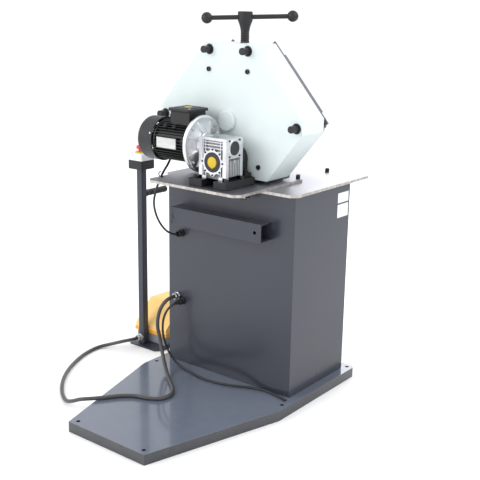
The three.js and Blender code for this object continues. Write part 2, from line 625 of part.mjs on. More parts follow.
function footSwitch() {
  const { low, high, front, back, baseTop, lipTop, ridgeY, roof, wall } = PEDAL_BOX;
  const floorTop = FOOTPLATE.thick + GAP;
  const tray = box(low + 6, front + 6, floorTop, high - 6, back - 4, floorTop + 12);
  const rear = box(low + 6, ridgeY + 28, floorTop, high - 6, back - 4, baseTop - GAP);
  piece('foot_switch_base', join(tray, rear), 0x8a8f93, 0.5);

  const side = [
    [back, baseTop], [back, lipTop], [ridgeY, roof], [front + 44, roof - 3], [front, baseTop],
  ];
  const inner = [
    [back - wall, baseTop - 1], [back - wall, lipTop - 3], [ridgeY - 2, roof - wall],
    [front + 44, roof - wall - 3],
    [front + 34, roof - 30], [front - 30, baseTop + 40], [front - 30, baseTop - 1],
  ];
  const cheekInner = prism(inner, low + wall, high - wall);
  piece('foot_switch_hood', cut(prism(side, low, high), cheekInner), ORANGE, 0.4);

  const pivotY = ridgeY + 34;
  const treadle = box(low + 16, front + 22, baseTop + 2, high - 16, pivotY + 12, baseTop + 12);
  const barrel = rod(8, low + 16, high - 16, 'x', [0, pivotY, baseTop + 12], 16);
  piece('foot_pedal', join(treadle, barrel), BLACK, 0.6);
}

// ---------- cords and their glands ----------

const REAR_WALL = CABINET.depthHalf + GAP;
const MOTOR_CABLE_GLAND = [223, 0, 563];
const MAINS_GLAND = [219, 0, 293];
const CONDUIT_GLAND = [243, 0, 310];
const GLAND_LENGTH = 26;

// The motor cable leaves the terminal box, passes under the motor and over the edge of
// the upper plate, and enters the cabinet's back.
const MOTOR_CABLE_ROUTE = [
  [172, 222, 1020], [205, 222, 1020], [238, 214, 1016], [262, 194, 996], [272, 176, 962], [274, 168, 922],
  [271, 173, 884], [264, 192, 852], [255, 220, 828], [246, 248, 812], [240, 268, 798], [241, 280, 779],
  [249, 286, 752], [259, 287, 722], [265, 286, 692], [264, 282, 662], [258, 275, 632], [249, 264, 605],
  [239, 249, 583], [230, 231, 569.5], [225, 216, 564.5], [223, 204.8, 563],
];
// The mains lead drops from its gland, lies on the base and ends at the cabinet's corner.
const MAINS_ROUTE = [
  [219, 204.8, 293], [219.5, 218, 292.5], [223, 232, 288.5], [231, 245, 277], [240, 254, 257],
  [247, 259, 231],
  [250, 260, 202], [250, 258, 172], [247, 253, 142], [241, 246, 113], [231, 239, 87], [214, 233, 64],
  [190, 232, 49], [160, 236, 43], [120, 245, 43], [78, 254, 43], [38, 257, 43], [0, 255, 43], [-38, 247, 43],
  [-75, 235, 43], [-108, 219, 43], [-140, 204, 43], [-172, 195, 43], [-208, 192, 43], [-252, 198, 43],
  [-298, 208, 43],
];
// The pedestal's conduit drops to the base, turns back over its edge, lies in a loop on
// the floor and enters the pole's foot.
const CONDUIT_ROUTE = [
  [243, 204.8, 310], [243.5, 222, 309.5], [247, 241, 303], [254, 258, 285], [261, 268, 257], [265, 272, 225],
  [264, 272, 192], [257, 269, 158], [246, 272, 118], [224, 284, 82], [190, 308, 58], [146, 342, 47],
  [104, 374, 45.5], [66, 406, 45.5], [42, 446, 45.5], [50, 490, 45.5], [88, 516, 45.5],
  [134, 532, 45.5], [172, 562, 45.5],
  [204, 606, 45.5], [234, 644, 45.5], [268, 668, 41], [304, 676, 26], [344, 668, 12], [394, 642, 7.8],
  [446, 602, 7.7], [500, 548, 7.7], [550, 482, 7.7], [594, 404, 7.7], [624, 328, 7.7], [636, 262, 7.7],
  [632, 226, 8.6], [613, 204, 14], [588, 191, 23], [563, 177, 32], [544, 158, 37],
  [534, 137, 38], [531, 118.8, 38],
];
const CONDUIT_FITTING_POLE = [POLE.x, 0, 38];

function cords() {
  gland('motor_cable_gland', MOTOR_CABLE_GLAND, REAR_WALL, BLACK);
  gland('mains_gland', MAINS_GLAND, REAR_WALL, BLACK);
  gland('conduit_fitting_cabinet', CONDUIT_GLAND, REAR_WALL, STEEL);
  gland('conduit_fitting_pole', CONDUIT_FITTING_POLE, POLE.y + POLE.half + GAP, STEEL);
  piece('motor_cable', cordTube(MOTOR_CABLE_ROUTE, 4, 42, 8), BLACK, 0.6);
  piece('mains_lead', cordTube(MAINS_ROUTE, 4.3, 46, 8), BLACK, 0.6);
  piece('control_conduit', cordTube(CONDUIT_ROUTE, 7, 66, 8), DARK_STEEL, 0.6);
}

// ---------- build ----------

baseTray();
cabinet();
cabinetDoor();
lowerPlate();
tiltBracket();
upperPlate();
gearCasing();
frontPlate();
tieRods();
edgeBar(-1, 'right');
edgeBar(1, 'left');
gearTrain();
topRoll();
leadScrew();
gearbox();
motor();
driveSeats();
pillowBlock();
pedestal();
emergencyStop();
footSwitch();
cords();

// The origin is the middle of the machine's footprint box on the floor, cords aside.
const CORDS = ['motor_cable', 'mains_lead', 'control_conduit'];
const extent = new THREE.Box3();
assembly.children
  .filter((mesh) => !CORDS.includes(mesh.name))
  .forEach((mesh) => extent.expandByObject(mesh, true));
const middle = extent.getCenter(new THREE.Vector3());
assembly.position.set(-middle.x, -middle.y, -extent.min.z);

const machine = new THREE.Group();
machine.add(assembly);

export default machine;
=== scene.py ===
"""Looks of a three-roll pipe and profile bending machine, built around its CAD frame.

Metres, +Z up. The rolls face -Y, the motor side is +Y, the pedestal stands at +X.
"""

import json
import math

import bmesh
import bpy
from mathutils import Matrix, Vector


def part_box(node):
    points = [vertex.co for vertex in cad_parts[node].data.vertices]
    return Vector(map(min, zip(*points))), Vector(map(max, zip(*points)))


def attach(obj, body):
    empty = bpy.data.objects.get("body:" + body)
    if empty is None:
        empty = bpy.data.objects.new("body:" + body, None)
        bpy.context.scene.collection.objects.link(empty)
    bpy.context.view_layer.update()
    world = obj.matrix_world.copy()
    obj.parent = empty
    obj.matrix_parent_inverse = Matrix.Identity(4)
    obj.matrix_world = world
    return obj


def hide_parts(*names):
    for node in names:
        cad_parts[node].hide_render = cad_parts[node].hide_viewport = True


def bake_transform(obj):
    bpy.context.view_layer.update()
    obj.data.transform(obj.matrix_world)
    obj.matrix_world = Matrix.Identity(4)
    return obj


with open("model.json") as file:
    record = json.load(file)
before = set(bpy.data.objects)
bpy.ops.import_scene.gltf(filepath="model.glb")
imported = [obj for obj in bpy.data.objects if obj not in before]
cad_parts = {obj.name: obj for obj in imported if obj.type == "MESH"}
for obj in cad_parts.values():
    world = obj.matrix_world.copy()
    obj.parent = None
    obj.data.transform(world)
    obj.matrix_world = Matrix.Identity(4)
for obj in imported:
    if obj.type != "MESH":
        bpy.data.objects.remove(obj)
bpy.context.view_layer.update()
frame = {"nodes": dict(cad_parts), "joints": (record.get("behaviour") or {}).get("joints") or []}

MM = 0.001
SCENE = bpy.context.scene
X, Y, Z = Vector((1, 0, 0)), Vector((0, 1, 0)), Vector((0, 0, 1))


# ---------- places ----------

def low(node):
    """A node's lowest corner."""
    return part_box(node)[0]


def high(node):
    """A node's highest corner."""
    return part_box(node)[1]


def middle(node):
    """The middle of a node's box."""
    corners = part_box(node)
    return (corners[0] + corners[1]) / 2


def at(x, y, z):
    """A point or a direction in metres."""
    return Vector((x, y, z))


def mm(x, y, z):
    """A point or a size given in millimetres."""
    return at(x, y, z) * MM


def in_mm(points):
    """Points given in millimetres, each with what follows its first two numbers."""
    return [(first * MM, second * MM, *rest) for first, second, *rest in points]


# ---------- camera ----------

CAMERA_PLACE = at(-2.054, 2.329, 1.4185)
CAMERA_YAW = 0.66
CAMERA_PITCH = 0.268
CAMERA_ROLL = 0.017
CAMERA_LENS = 65.7


def camera():
    """A camera behind the motor side, looking slightly down."""
    ahead = at(
        math.sin(CAMERA_YAW) * math.cos(CAMERA_PITCH),
        -math.cos(CAMERA_YAW) * math.cos(CAMERA_PITCH),
        -math.sin(CAMERA_PITCH),
    )
    right = ahead.cross(Z).normalized()
    up = right.cross(ahead)
    right_rolled = right * math.cos(CAMERA_ROLL) + up * math.sin(CAMERA_ROLL)
    up_rolled = up * math.cos(CAMERA_ROLL) - right * math.sin(CAMERA_ROLL)
    data = bpy.data.cameras.new("camera")
    data.lens = CAMERA_LENS
    data.sensor_width = 36
    data.clip_end = 100
    view = bpy.data.objects.new("camera", data)
    SCENE.collection.objects.link(view)
    view.matrix_world = Matrix.Translation(CAMERA_PLACE) @ Matrix(
        (right_rolled, up_rolled, -ahead)
    ).transposed().to_4x4()
    SCENE.camera = view


camera()


# ---------- node materials ----------

class Graph:
    """A material's node tree, with one short call for each node."""

    def __init__(self, name):
        self.material = bpy.data.materials.new(name)
        self.material.use_nodes = True
        self.tree = self.material.node_tree
        self.shader = self.tree.nodes["Principled BSDF"]

    def node(self, kind, links=None, values=None, **settings):
        """Adds a node, sets its settings and values, and links its inputs."""
        made = self.tree.nodes.new(kind)
        for key, value in settings.items():
            setattr(made, key, value)
        for key, value in (values or {}).items():
            made.inputs[key].default_value = value
        for key, source in (links or {}).items():
            self.tree.links.new(source, made.inputs[key])
        return made

    def place(self, stretch=(1, 1, 1), turn=(0, 0, 0)):
        """Object coordinates, stretched and turned."""
        coordinates = self.node("ShaderNodeTexCoord").outputs["Object"]
        mapping = self.node("ShaderNodeMapping", {"Vector": coordinates})
        mapping.inputs["Scale"].default_value = stretch
        mapping.inputs["Rotation"].default_value = turn
        return mapping.outputs["Vector"]

    def noise(self, scale, detail=4.0, roughness=0.55, stretch=(1, 1, 1), turn=(0, 0, 0)):
        """A noise value from 0 to 1."""
        values = {"Scale": scale, "Detail": detail, "Roughness": roughness}
        links = {"Vector": self.place(stretch, turn)}
        return self.node("ShaderNodeTexNoise", links, values).outputs["Fac"]

    def steps(self, value, from_low, from_high, to_low=0.0, to_high=1.0):
        """Maps a value's range to another, with both ends held."""
        values = {"From Min": from_low, "From Max": from_high, "To Min": to_low, "To Max": to_high}
        return self.node("ShaderNodeMapRange", {"Value": value}, values).outputs["Result"]

    def blend(self, factor, first, second):
        """Mixes two colours, each a socket or a plain colour."""
        made = self.node("ShaderNodeMix", data_type="RGBA")
        self.tree.links.new(factor, made.inputs["Factor"])
        for socket, source in ((made.inputs[6], first), (made.inputs[7], second)):
            if isinstance(source, bpy.types.NodeSocket):
                self.tree.links.new(source, socket)
            else:
                socket.default_value = (*source, 1)
        return made.outputs[2]

    def math(self, operation, first, second):
        """A sum, product or comparison of a socket and a socket or number."""
        made = self.node("ShaderNodeMath", operation=operation)
        self.tree.links.new(first, made.inputs[0])
        if isinstance(second, bpy.types.NodeSocket):
            self.tree.links.new(second, made.inputs[1])
        else:
            made.inputs[1].default_value = second
        return made.outputs[0]

    def edges(self, radius):
        """1 on sharp edges, 0 on flat faces."""
        soft = self.node("ShaderNodeBevel", values={"Radius": radius}, samples=6).outputs["Normal"]
        true = self.node("ShaderNodeNewGeometry").outputs["Normal"]
        made = self.node("ShaderNodeVectorMath", operation="DOT_PRODUCT")
        self.tree.links.new(soft, made.inputs[0])
        self.tree.links.new(true, made.inputs[1])
        return self.steps(made.outputs["Value"], 0.995, 0.8)

    def upright(self):
        """1 on upright faces, 0 on faces that lie flat."""
        coordinates = self.node("ShaderNodeTexCoord").outputs["Normal"]
        rise = self.node("ShaderNodeSeparateXYZ", {"Vector": coordinates}).outputs["Z"]
        return self.steps(self.math("ABSOLUTE", rise, 0.0), 0.6, 0.35)

    def bump(self, height, strength, distance):
        """Puts a height into the shader's normal."""
        values = {"Strength": strength, "Distance": distance}
        previous = self.shader.inputs["Normal"].links
        links = {"Height": height}
        if previous:
            links["Normal"] = previous[0].from_socket
        made = self.node("ShaderNodeBump", links, values)
        self.tree.links.new(made.outputs["Normal"], self.shader.inputs["Normal"])

    def use(self, **sockets):
        """Links or sets the shader's inputs, named with underscores for spaces."""
        for key, source in sockets.items():
            socket = self.shader.inputs[key.replace("_", " ")]
            if isinstance(source, bpy.types.NodeSocket):
                self.tree.links.new(source, socket)
            elif isinstance(source, tuple):
                socket.default_value = (*source, 1)
            else:
                socket.default_value = source


def tone(colour, factor):
    """A colour made lighter or darker."""
    return tuple(min(1.0, channel * factor) for channel in colour)


# Every material that a recipe has made, by its plain name.
LOOKS = {}


def paint(name, colour, rough, peel, wear=(0.35, 0.36, 0.38), coat=0.0, dust=0.0, sides=None):
    """Sprayed or powder-coated paint: orange peel, faint mottling, scuffs, worn edges and, where asked,
    painted shade on upright faces.
    """
    graph = Graph(name)
    mottle = graph.noise(3.2, 5.0, 0.6)
    speck = graph.noise(260.0, 2.0)
    shade = graph.blend(graph.steps(mottle, 0.3, 0.7), tone(colour, 0.93), tone(colour, 1.06))
    shade = graph.blend(graph.steps(speck, 0.55, 0.75, 0.0, 0.12), shade, tone(colour, 1.25))
    scuff = graph.steps(graph.noise(9.0, 8.0, 0.75, stretch=(1, 1, 6), turn=(0.5, 0.3, 0.2)), 0.62, 0.72)
    rim = graph.math("MULTIPLY", graph.edges(0.0012), graph.steps(graph.noise(45.0, 4.0), 0.42, 0.6))
    shade = graph.blend(graph.math("MULTIPLY", rim, 0.75), shade, wear)
    # Where a side colour is given, upright faces take it: painted shade on the sides.
    if sides:
        shade = graph.blend(graph.upright(), shade, sides)
    if dust:
        lying = graph.math("MULTIPLY", graph.steps(graph.noise(22.0, 6.0, 0.7), 0.45, 0.7), dust)
        shade = graph.blend(lying, shade, (0.42, 0.4, 0.37))
    gloss = graph.math("ADD", graph.steps(mottle, 0.3, 0.7, rough - 0.05, rough + 0.05),
                       graph.math("MULTIPLY", scuff, 0.04))
    graph.use(Base_Color=shade, Roughness=gloss, Coat_Weight=coat, Coat_Roughness=0.08)
    graph.bump(graph.noise(420.0, 3.0), peel, 0.0004)
    LOOKS[name] = graph.material


def brushed(name, colour, rough, stretch=(1, 40, 40), turn=(0, 0, 0), edge=None, stain=(0.34, 0.33, 0.33)):
    """Ground steel with long fine lines, light stains and, where asked, raw cut edges."""
    graph = Graph(name)
    lines = graph.noise(26.0, 8.0, 0.7, stretch=stretch, turn=turn)
    cloud = graph.noise(6.0, 6.0, 0.6)
    shade = graph.blend(graph.steps(lines, 0.3, 0.7), tone(colour, 0.82), tone(colour, 1.12))
    shade = graph.blend(graph.steps(cloud, 0.55, 0.85, 0.0, 0.4), shade, stain)
    if edge:
        cut = graph.noise(70.0, 6.0, 0.7, stretch=(1, 1, 0.25))
        cut_shade = graph.blend(graph.steps(cut, 0.35, 0.65), tone(edge, 0.7), tone(edge, 1.3))
        shade = graph.blend(graph.upright(), shade, cut_shade)
    graph.use(Base_Color=shade, Metallic=1.0, Anisotropic=0.4)
    graph.use(Roughness=graph.steps(lines, 0.3, 0.7, rough - 0.06, rough + 0.1))
    graph.bump(lines, 0.12, 0.0003)
    LOOKS[name] = graph.material


def cast(name, colour, rough, grain=320.0, metallic=1.0, strength=0.35):
    """Die-cast or machined metal with a fine pebbled skin and a painted highlight on its sharp edges."""
    graph = Graph(name)
    pebble = graph.noise(grain, 4.0, 0.6)
    cloud = graph.noise(14.0, 5.0, 0.6)
    shade = graph.blend(graph.steps(cloud, 0.3, 0.7), tone(colour, 0.86), tone(colour, 1.08))
    # Sharp edges are made paler: a painted highlight.
    shade = graph.blend(graph.math("MULTIPLY", graph.edges(0.0015), 0.5), shade, tone(colour, 1.5))
    graph.use(Base_Color=shade, Metallic=metallic)
    graph.use(Roughness=graph.steps(cloud, 0.3, 0.7, rough - 0.06, rough + 0.08))
    graph.bump(pebble, strength, 0.0004)
    LOOKS[name] = graph.material


def moulded(name, colour, rough, grain=700.0, strength=0.25, metallic=0.0):
    """Moulded plastic or rubber with a fine grain, scuffs and slightly paler edges."""
    graph = Graph(name)
    cloud = graph.noise(11.0, 5.0, 0.6)
    shade = graph.blend(graph.steps(cloud, 0.3, 0.7), tone(colour, 0.88), tone(colour, 1.12))
    shade = graph.blend(graph.math("MULTIPLY", graph.edges(0.0008), 0.35), shade, tone(colour, 1.7))
    scuff = graph.steps(graph.noise(60.0, 8.0, 0.8), 0.6, 0.75, 0.0, 0.15)
    graph.use(Base_Color=shade, Metallic=metallic)
    graph.use(Roughness=graph.math("ADD", graph.steps(cloud, 0.3, 0.7, rough - 0.05, rough + 0.05), scuff))
    graph.bump(graph.noise(grain, 2.0), strength, 0.0002)
    LOOKS[name] = graph.material


SLATE = (0.033, 0.037, 0.052)
PALE = (0.64, 0.71, 0.71)
CUT_EDGE = (0.5, 0.47, 0.44)

paint("slate_paint", SLATE, 0.34, 0.1, coat=0.05)
paint("edge_paint", (0.11, 0.1, 0.135), 0.36, 0.1)
paint("pale_paint", PALE, 0.42, 0.12, wear=(0.28, 0.32, 0.32))
paint("black_paint", (0.005, 0.005, 0.0055), 0.42, 0.25, wear=(0.08, 0.08, 0.085))
paint("yellow_paint", (0.93, 0.6, 0.2), 0.4, 0.2, wear=(0.7, 0.4, 0.12))
brushed("bright_steel", (0.55, 0.55, 0.54), 0.3)
cast("black_steel", (0.024, 0.024, 0.026), 0.45, 240.0, 0.4, 0.25)
cast("cast_aluminium", (0.76, 0.77, 0.79), 0.3)
moulded("black_plastic", (0.009, 0.009, 0.01), 0.5)
moulded("dark_plastic", (0.014, 0.0145, 0.017), 0.5, 380.0, 0.35)
moulded("white_plastic", (0.76, 0.76, 0.8), 0.35)
moulded("red_plastic", (0.62, 0.03, 0.035), 0.3)
moulded("grey_plastic", (0.26, 0.28, 0.3), 0.5)
moulded("cord_rubber", (0.02, 0.02, 0.021), 0.5, 900.0, 0.3)
moulded("grip_rubber", (0.016, 0.016, 0.018), 0.62, 500.0, 0.5)
brushed("plate_steel", (0.36, 0.36, 0.395), 0.4, stretch=(1, 30, 1), turn=(0, 0, 0.2), edge=CUT_EDGE)
brushed("turned_steel", (0.42, 0.42, 0.43), 0.27, stretch=(3, 3, 3))
# The base's upright faces take a far darker colour: painted shade on its sides.
paint("base_paint", (0.115, 0.135, 0.18), 0.2, 0.06, coat=0.5, dust=0.03, sides=(0.026, 0.027, 0.033))
paint("cabinet_paint", SLATE, 0.32, 0.1, coat=0.08)
moulded("seal_rubber", (0.02, 0.02, 0.022), 0.55)
moulded("yellow_cap", (0.62, 0.42, 0.01), 0.42)
# A darker, more saturated copy of the hood's yellow: painted shade for the hood's lip and rivets.
paint("painted_shade_orange", (0.88, 0.36, 0.03), 0.4, 0.2)
brushed("blank_plate", (0.7, 0.7, 0.69), 0.3, stretch=(1, 1, 30))
# A dark copy of the cast aluminium: painted shade in the gearbox's recessed core.
cast("painted_shade_casting", (0.2, 0.205, 0.21), 0.4)
cast("zinc", (0.55, 0.56, 0.57), 0.3, 500.0, 1.0, 0.15)
moulded("conduit_skin", (0.055, 0.052, 0.053), 0.4, 600.0, 0.2)


# ---------- mesh helpers ----------

def build(name, shapes, look, body, replaced=(), bevel=0.0, segments=2):
    """Makes one piece that rides on a body, out of functions that each add a shape to a mesh."""
    work = bmesh.new()
    for shape in shapes:
        shape(work)
    bmesh.ops.recalc_face_normals(work, faces=work.faces)
    mesh = bpy.data.meshes.new(name)
    work.to_mesh(mesh)
    work.free()
    for polygon in mesh.polygons:
        polygon.use_smooth = True
    mesh.set_sharp_from_angle(angle=math.radians(35))
    made = bpy.data.objects.new(name, mesh)
    SCENE.collection.objects.link(made)
    mesh.materials.append(LOOKS[look])
    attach(made, body)
    if replaced:
        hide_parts(*replaced)
    if bevel:
        add_bevel(made, bevel, segments)
    return made


def add_bevel(piece, width, segments=2, angle=32):
    """Rounds a piece's sharp edges."""
    rounding = piece.modifiers.new("rounding", "BEVEL")
    rounding.width = width
    rounding.segments = segments
    rounding.limit_method = "ANGLE"
    rounding.angle_limit = math.radians(angle)
    rounding.harden_normals = True
    return rounding


def turn_to(direction, about=0.0):
    """A rotation that takes +Z to a direction, after a turn about +Z."""
    quaternion = Vector(direction).normalized().to_track_quat("Z", "Y")
    return quaternion.to_matrix().to_4x4() @ Matrix.Rotation(about, 4, "Z")


def seat(place, direction=Z, about=0.0):
    """The matrix of a shape that stands on a place and points in a direction."""
    return Matrix.Translation(place) @ turn_to(direction, about)


def block(corner_a, corner_b):
    """A box between two corners."""
    def add(work):
        size = corner_b - corner_a
        matrix = Matrix.Translation((corner_a + corner_b) / 2) @ Matrix.Diagonal((*size, 1))
        bmesh.ops.create_cube(work, size=1, matrix=matrix)
    return add


def prism(outline, height, matrix):
    """A flat outline of (x, y) points raised by a height."""
    def add(work):
        floor = [work.verts.new(matrix @ at(x, y, 0)) for x, y in outline]
        roof = [work.verts.new(matrix @ at(x, y, height)) for x, y in outline]
        work.faces.new(floor[::-1])
        work.faces.new(roof)
        for index in range(len(outline)):
            after = (index + 1) % len(outline)
            work.faces.new((floor[index], floor[after], roof[after], roof[index]))
    return add


def radius_at(radius, angle, sides):
    """The radius of a circle, or of a regular polygon with a given inner radius."""
    if not sides:
        return radius
    part = 2 * math.pi / sides
    return radius / math.cos((angle % part) - part / 2)


def lathe(profile, matrix, segments=48, closed=False):
    """Turns (radius, height) points about +Z. A third value makes that ring a polygon."""
    def add(work):
        rings = []
        for radius, height, *sides in profile:
            if radius < 1e-7:
                rings.append([work.verts.new(matrix @ at(0, 0, height))])
                continue
            ring = []
            for index in range(segments):
                angle = 2 * math.pi * index / segments
                reach = radius_at(radius, angle, sides[0] if sides else 0)
                place = at(reach * math.cos(angle), reach * math.sin(angle), height)
                ring.append(work.verts.new(matrix @ place))
            rings.append(ring)
        pairs = list(zip(rings, rings[1:]))
        if closed:
            pairs.append((rings[-1], rings[0]))
        for first, second in pairs:
            for index in range(segments):
                after = (index + 1) % segments
                corners = [first[index % len(first)], first[after % len(first)],
                           second[after % len(second)], second[index % len(second)]]
                unique = list(dict.fromkeys(corners))
                if len(unique) > 2:
                    work.faces.new(unique)
    return add


def rounded(radius, low_end, high_end, round_by, steps=3):
    """A lathe profile of a solid bar whose two ends are rounded."""
    points = [(0, low_end)]
    for step in range(steps + 1):
        angle = math.pi / 2 * step / steps
        points.append((radius - round_by * (1 - math.sin(angle)), low_end + round_by * (1 - math.cos(angle))))
    for step in range(steps + 1):
        angle = math.pi / 2 * (1 - step / steps)
        points.append((radius - round_by * (1 - math.sin(angle)),
                       high_end - round_by * (1 - math.cos(angle))))
    points.append((0, high_end))
    return points


def bar(radius, start, end, round_by=0.0005, segments=32):
    """A round bar between two points."""
    length = (end - start).length
    return lathe(rounded(radius, 0, length, round_by), seat(start, end - start), segments)


def ball(radius, centre, segments=40, rings=20):
    """A sphere made by turning half a circle."""
    profile = [(radius * math.sin(math.pi * step / rings), -radius * math.cos(math.pi * step / rings))
               for step in range(rings + 1)]
    return lathe(profile, Matrix.Translation(centre), segments)


def socket_screw(place, direction, radius, height):
    """A cap screw with a hexagon socket."""
    profile = [
        (0, 0), (radius, 0), (radius, height * 0.9), (radius * 0.92, height), (radius * 0.56, height, 6),
        (radius * 0.54, height * 0.5, 6), (0, height * 0.42),
    ]
    return lathe(profile, seat(place, direction, 0.3), 24)


def hex_head(place, direction, across, height, about=0.0):
    """A hexagon bolt head or nut on its washer, with the bolt's end showing."""
    flat = across / 2
    washer = lathe(rounded(across * 0.62, 0, height * 0.16, height * 0.03), seat(place, direction), 32)
    profile = [
        (0, height * 0.16), (flat * 0.96, height * 0.16, 6), (flat, height * 0.2, 6),
        (flat, height * 0.88, 6),
        (flat * 0.93, height), (flat * 0.55, height), (flat * 0.55, height * 1.2),
        (flat * 0.48, height * 1.28),
        (0, height * 1.28),
    ]
    head = lathe(profile, seat(place, direction, about), 48)

    def add(work):
        washer(work)
        head(work)
    return add


def tube(points, radius, sides=12):
    """A closed tube along a list of points."""
    def add(work):
        rings = []
        normal = None
        for index, point in enumerate(points):
            ahead = points[min(index + 1, len(points) - 1)] - points[max(index - 1, 0)]
            ahead.normalize()
            if normal is None:
                normal = ahead.orthogonal().normalized()
            normal = (normal - ahead * normal.dot(ahead)).normalized()
            across = ahead.cross(normal)
            rings.append([
                work.verts.new(point + (normal * math.cos(turn) + across * math.sin(turn)) * radius)
                for turn in (2 * math.pi * side / sides for side in range(sides))
            ])
        for first, second in zip(rings, rings[1:]):
            for side in range(sides):
                after = (side + 1) % sides
                work.faces.new((first[side], first[after], second[after], second[side]))
        work.faces.new(rings[0][::-1])
        work.faces.new(rings[-1])
    return add


def screw_thread(radius, depth, pitch, start, end, matrix, segments=28, steps=6):
    """A bar with a helical V thread between two heights, with closed ends."""
    def add(work):
        rows = int((end - start) / pitch * steps)
        rings = []
        for row in range(rows + 1):
            height = start + (end - start) * row / rows
            ring = []
            for index in range(segments):
                angle = 2 * math.pi * index / segments
                phase = ((height / pitch) - index / segments) % 1.0
                fade = min(1.0, row / steps, (rows - row) / steps)
                reach = radius - depth * fade * (1 - abs(2 * phase - 1))
                ring.append(work.verts.new(matrix @ at(
                    reach * math.cos(angle), reach * math.sin(angle), height,
                )))
            rings.append(ring)
        for first, second in zip(rings, rings[1:]):
            for index in range(segments):
                after = (index + 1) % segments
                work.faces.new((first[index], first[after], second[after], second[index]))
        work.faces.new(rings[0][::-1])
        work.faces.new(rings[-1])
    return add


# ---------- CAD pieces that keep their own shape ----------

def smooth_by_angle():
    """A geometry-node group that shades faces smooth and keeps edges over 35 degrees sharp."""
    group = bpy.data.node_groups.new("smooth_by_angle", "GeometryNodeTree")
    group.interface.new_socket("Geometry", in_out="INPUT", socket_type="NodeSocketGeometry")
    group.interface.new_socket("Geometry", in_out="OUTPUT", socket_type="NodeSocketGeometry")
    entry = group.nodes.new("NodeGroupInput")
    leave = group.nodes.new("NodeGroupOutput")
    faces = group.nodes.new("GeometryNodeSetShadeSmooth")
    edges = group.nodes.new("GeometryNodeSetShadeSmooth")
    edges.domain = "EDGE"
    edges.inputs["Shade Smooth"].default_value = False
    angle = group.nodes.new("GeometryNodeInputMeshEdgeAngle")
    sharp = group.nodes.new("FunctionNodeCompare")
    sharp.operation = "GREATER_THAN"
    sharp.inputs[1].default_value = math.radians(35)
    group.links.new(entry.outputs[0], faces.inputs["Geometry"])
    group.links.new(faces.outputs[0], edges.inputs["Geometry"])
    group.links.new(angle.outputs["Unsigned Angle"], sharp.inputs[0])
    group.links.new(sharp.outputs[0], edges.inputs["Selection"])
    group.links.new(edges.outputs[0], leave.inputs[0])
    return group


SMOOTH = smooth_by_angle()


def keep(node, look, bevel, segments=2):
    """Gives a CAD piece its material and fine rounded edges."""
    piece = frame["nodes"][node]
    piece.data.materials.clear()
    piece.data.materials.append(LOOKS[look])
    weld = piece.modifiers.new("weld", "WELD")
    weld.merge_threshold = 0.00002
    flat = piece.modifiers.new("flat_faces", "DECIMATE")
    flat.decimate_type = "DISSOLVE"
    flat.angle_limit = math.radians(0.6)
    shade = piece.modifiers.new("shade", "NODES")
    shade.node_group = SMOOTH
    if bevel:
        add_bevel(piece, bevel, segments)
    return piece


# ---------- cords ----------

# The routes of the three cords, as they hang and lie.
MOTOR_CABLE_ROUTE = [
    (0.034, -0.0245, 1.02), (0.067, -0.0245, 1.02), (0.1, -0.0325, 1.016), (0.124, -0.0525, 0.996),
    (0.134, -0.0705, 0.962), (0.136, -0.0785, 0.922), (0.133, -0.0735, 0.884), (0.126, -0.0545, 0.852),
    (0.117, -0.0265, 0.828), (0.108, 0.0015, 0.812), (0.102, 0.0215, 0.798), (0.103, 0.0335, 0.779),
    (0.111, 0.0395, 0.752), (0.121, 0.0405, 0.722), (0.127, 0.0395, 0.692), (0.126, 0.0355, 0.662),
    (0.12, 0.0285, 0.632), (0.111, 0.0175, 0.605), (0.101, 0.0025, 0.583), (0.092, -0.0155, 0.5695),
    (0.087, -0.0305, 0.5645), (0.085, -0.0417, 0.563),
]
MAINS_ROUTE = [
    (0.081, -0.0417, 0.293), (0.0815, -0.0285, 0.2925), (0.085, -0.0145, 0.2885), (0.093, -0.0015, 0.277),
    (0.102, 0.0075, 0.257), (0.109, 0.0125, 0.231), (0.112, 0.0135, 0.202), (0.112, 0.0115, 0.172),
    (0.109, 0.0065, 0.142), (0.103, -0.0005, 0.113), (0.093, -0.0075, 0.087), (0.076, -0.0135, 0.064),
    (0.052, -0.0145, 0.049), (0.022, -0.0105, 0.043), (-0.018, -0.0015, 0.043), (-0.06, 0.0075, 0.043),
    (-0.1, 0.0105, 0.043), (-0.138, 0.0085, 0.043), (-0.176, 0.0005, 0.043), (-0.213, -0.0115, 0.043),
    (-0.246, -0.0275, 0.043), (-0.278, -0.0425, 0.043), (-0.31, -0.0515, 0.043), (-0.346, -0.0545, 0.043),
    (-0.39, -0.0485, 0.043), (-0.436, -0.0385, 0.043),
]
CONDUIT_ROUTE = [
    (0.105, -0.0417, 0.31), (0.1055, -0.0245, 0.3095), (0.109, -0.0055, 0.303), (0.116, 0.0115, 0.285),
    (0.123, 0.0215, 0.257), (0.127, 0.0255, 0.225), (0.126, 0.0255, 0.192), (0.119, 0.0225, 0.158),
    (0.108, 0.0255, 0.118), (0.086, 0.0375, 0.082), (0.052, 0.0615, 0.058), (0.008, 0.0955, 0.047),
    (-0.034, 0.1275, 0.0455), (-0.072, 0.1595, 0.0455), (-0.096, 0.1995, 0.0455),
    (-0.088, 0.2435, 0.0455), (-0.05, 0.2695, 0.0455), (-0.004, 0.2855, 0.0455), (0.034, 0.3155, 0.0455),
    (0.066, 0.3595, 0.0455), (0.096, 0.3975, 0.0455), (0.13, 0.4215, 0.041), (0.166, 0.4295, 0.026),
    (0.206, 0.4215, 0.012), (0.256, 0.3955, 0.0078), (0.308, 0.3555, 0.0077), (0.362, 0.3015, 0.0077),
    (0.412, 0.2355, 0.0077), (0.456, 0.1575, 0.0077), (0.486, 0.0815, 0.0077), (0.498, 0.0155, 0.0077),
    (0.494, -0.0205, 0.0086), (0.475, -0.0425, 0.014), (0.45, -0.0555, 0.023), (0.425, -0.0695, 0.032),
    (0.406, -0.0885, 0.037), (0.396, -0.1095, 0.038), (0.393, -0.1277, 0.038),
]


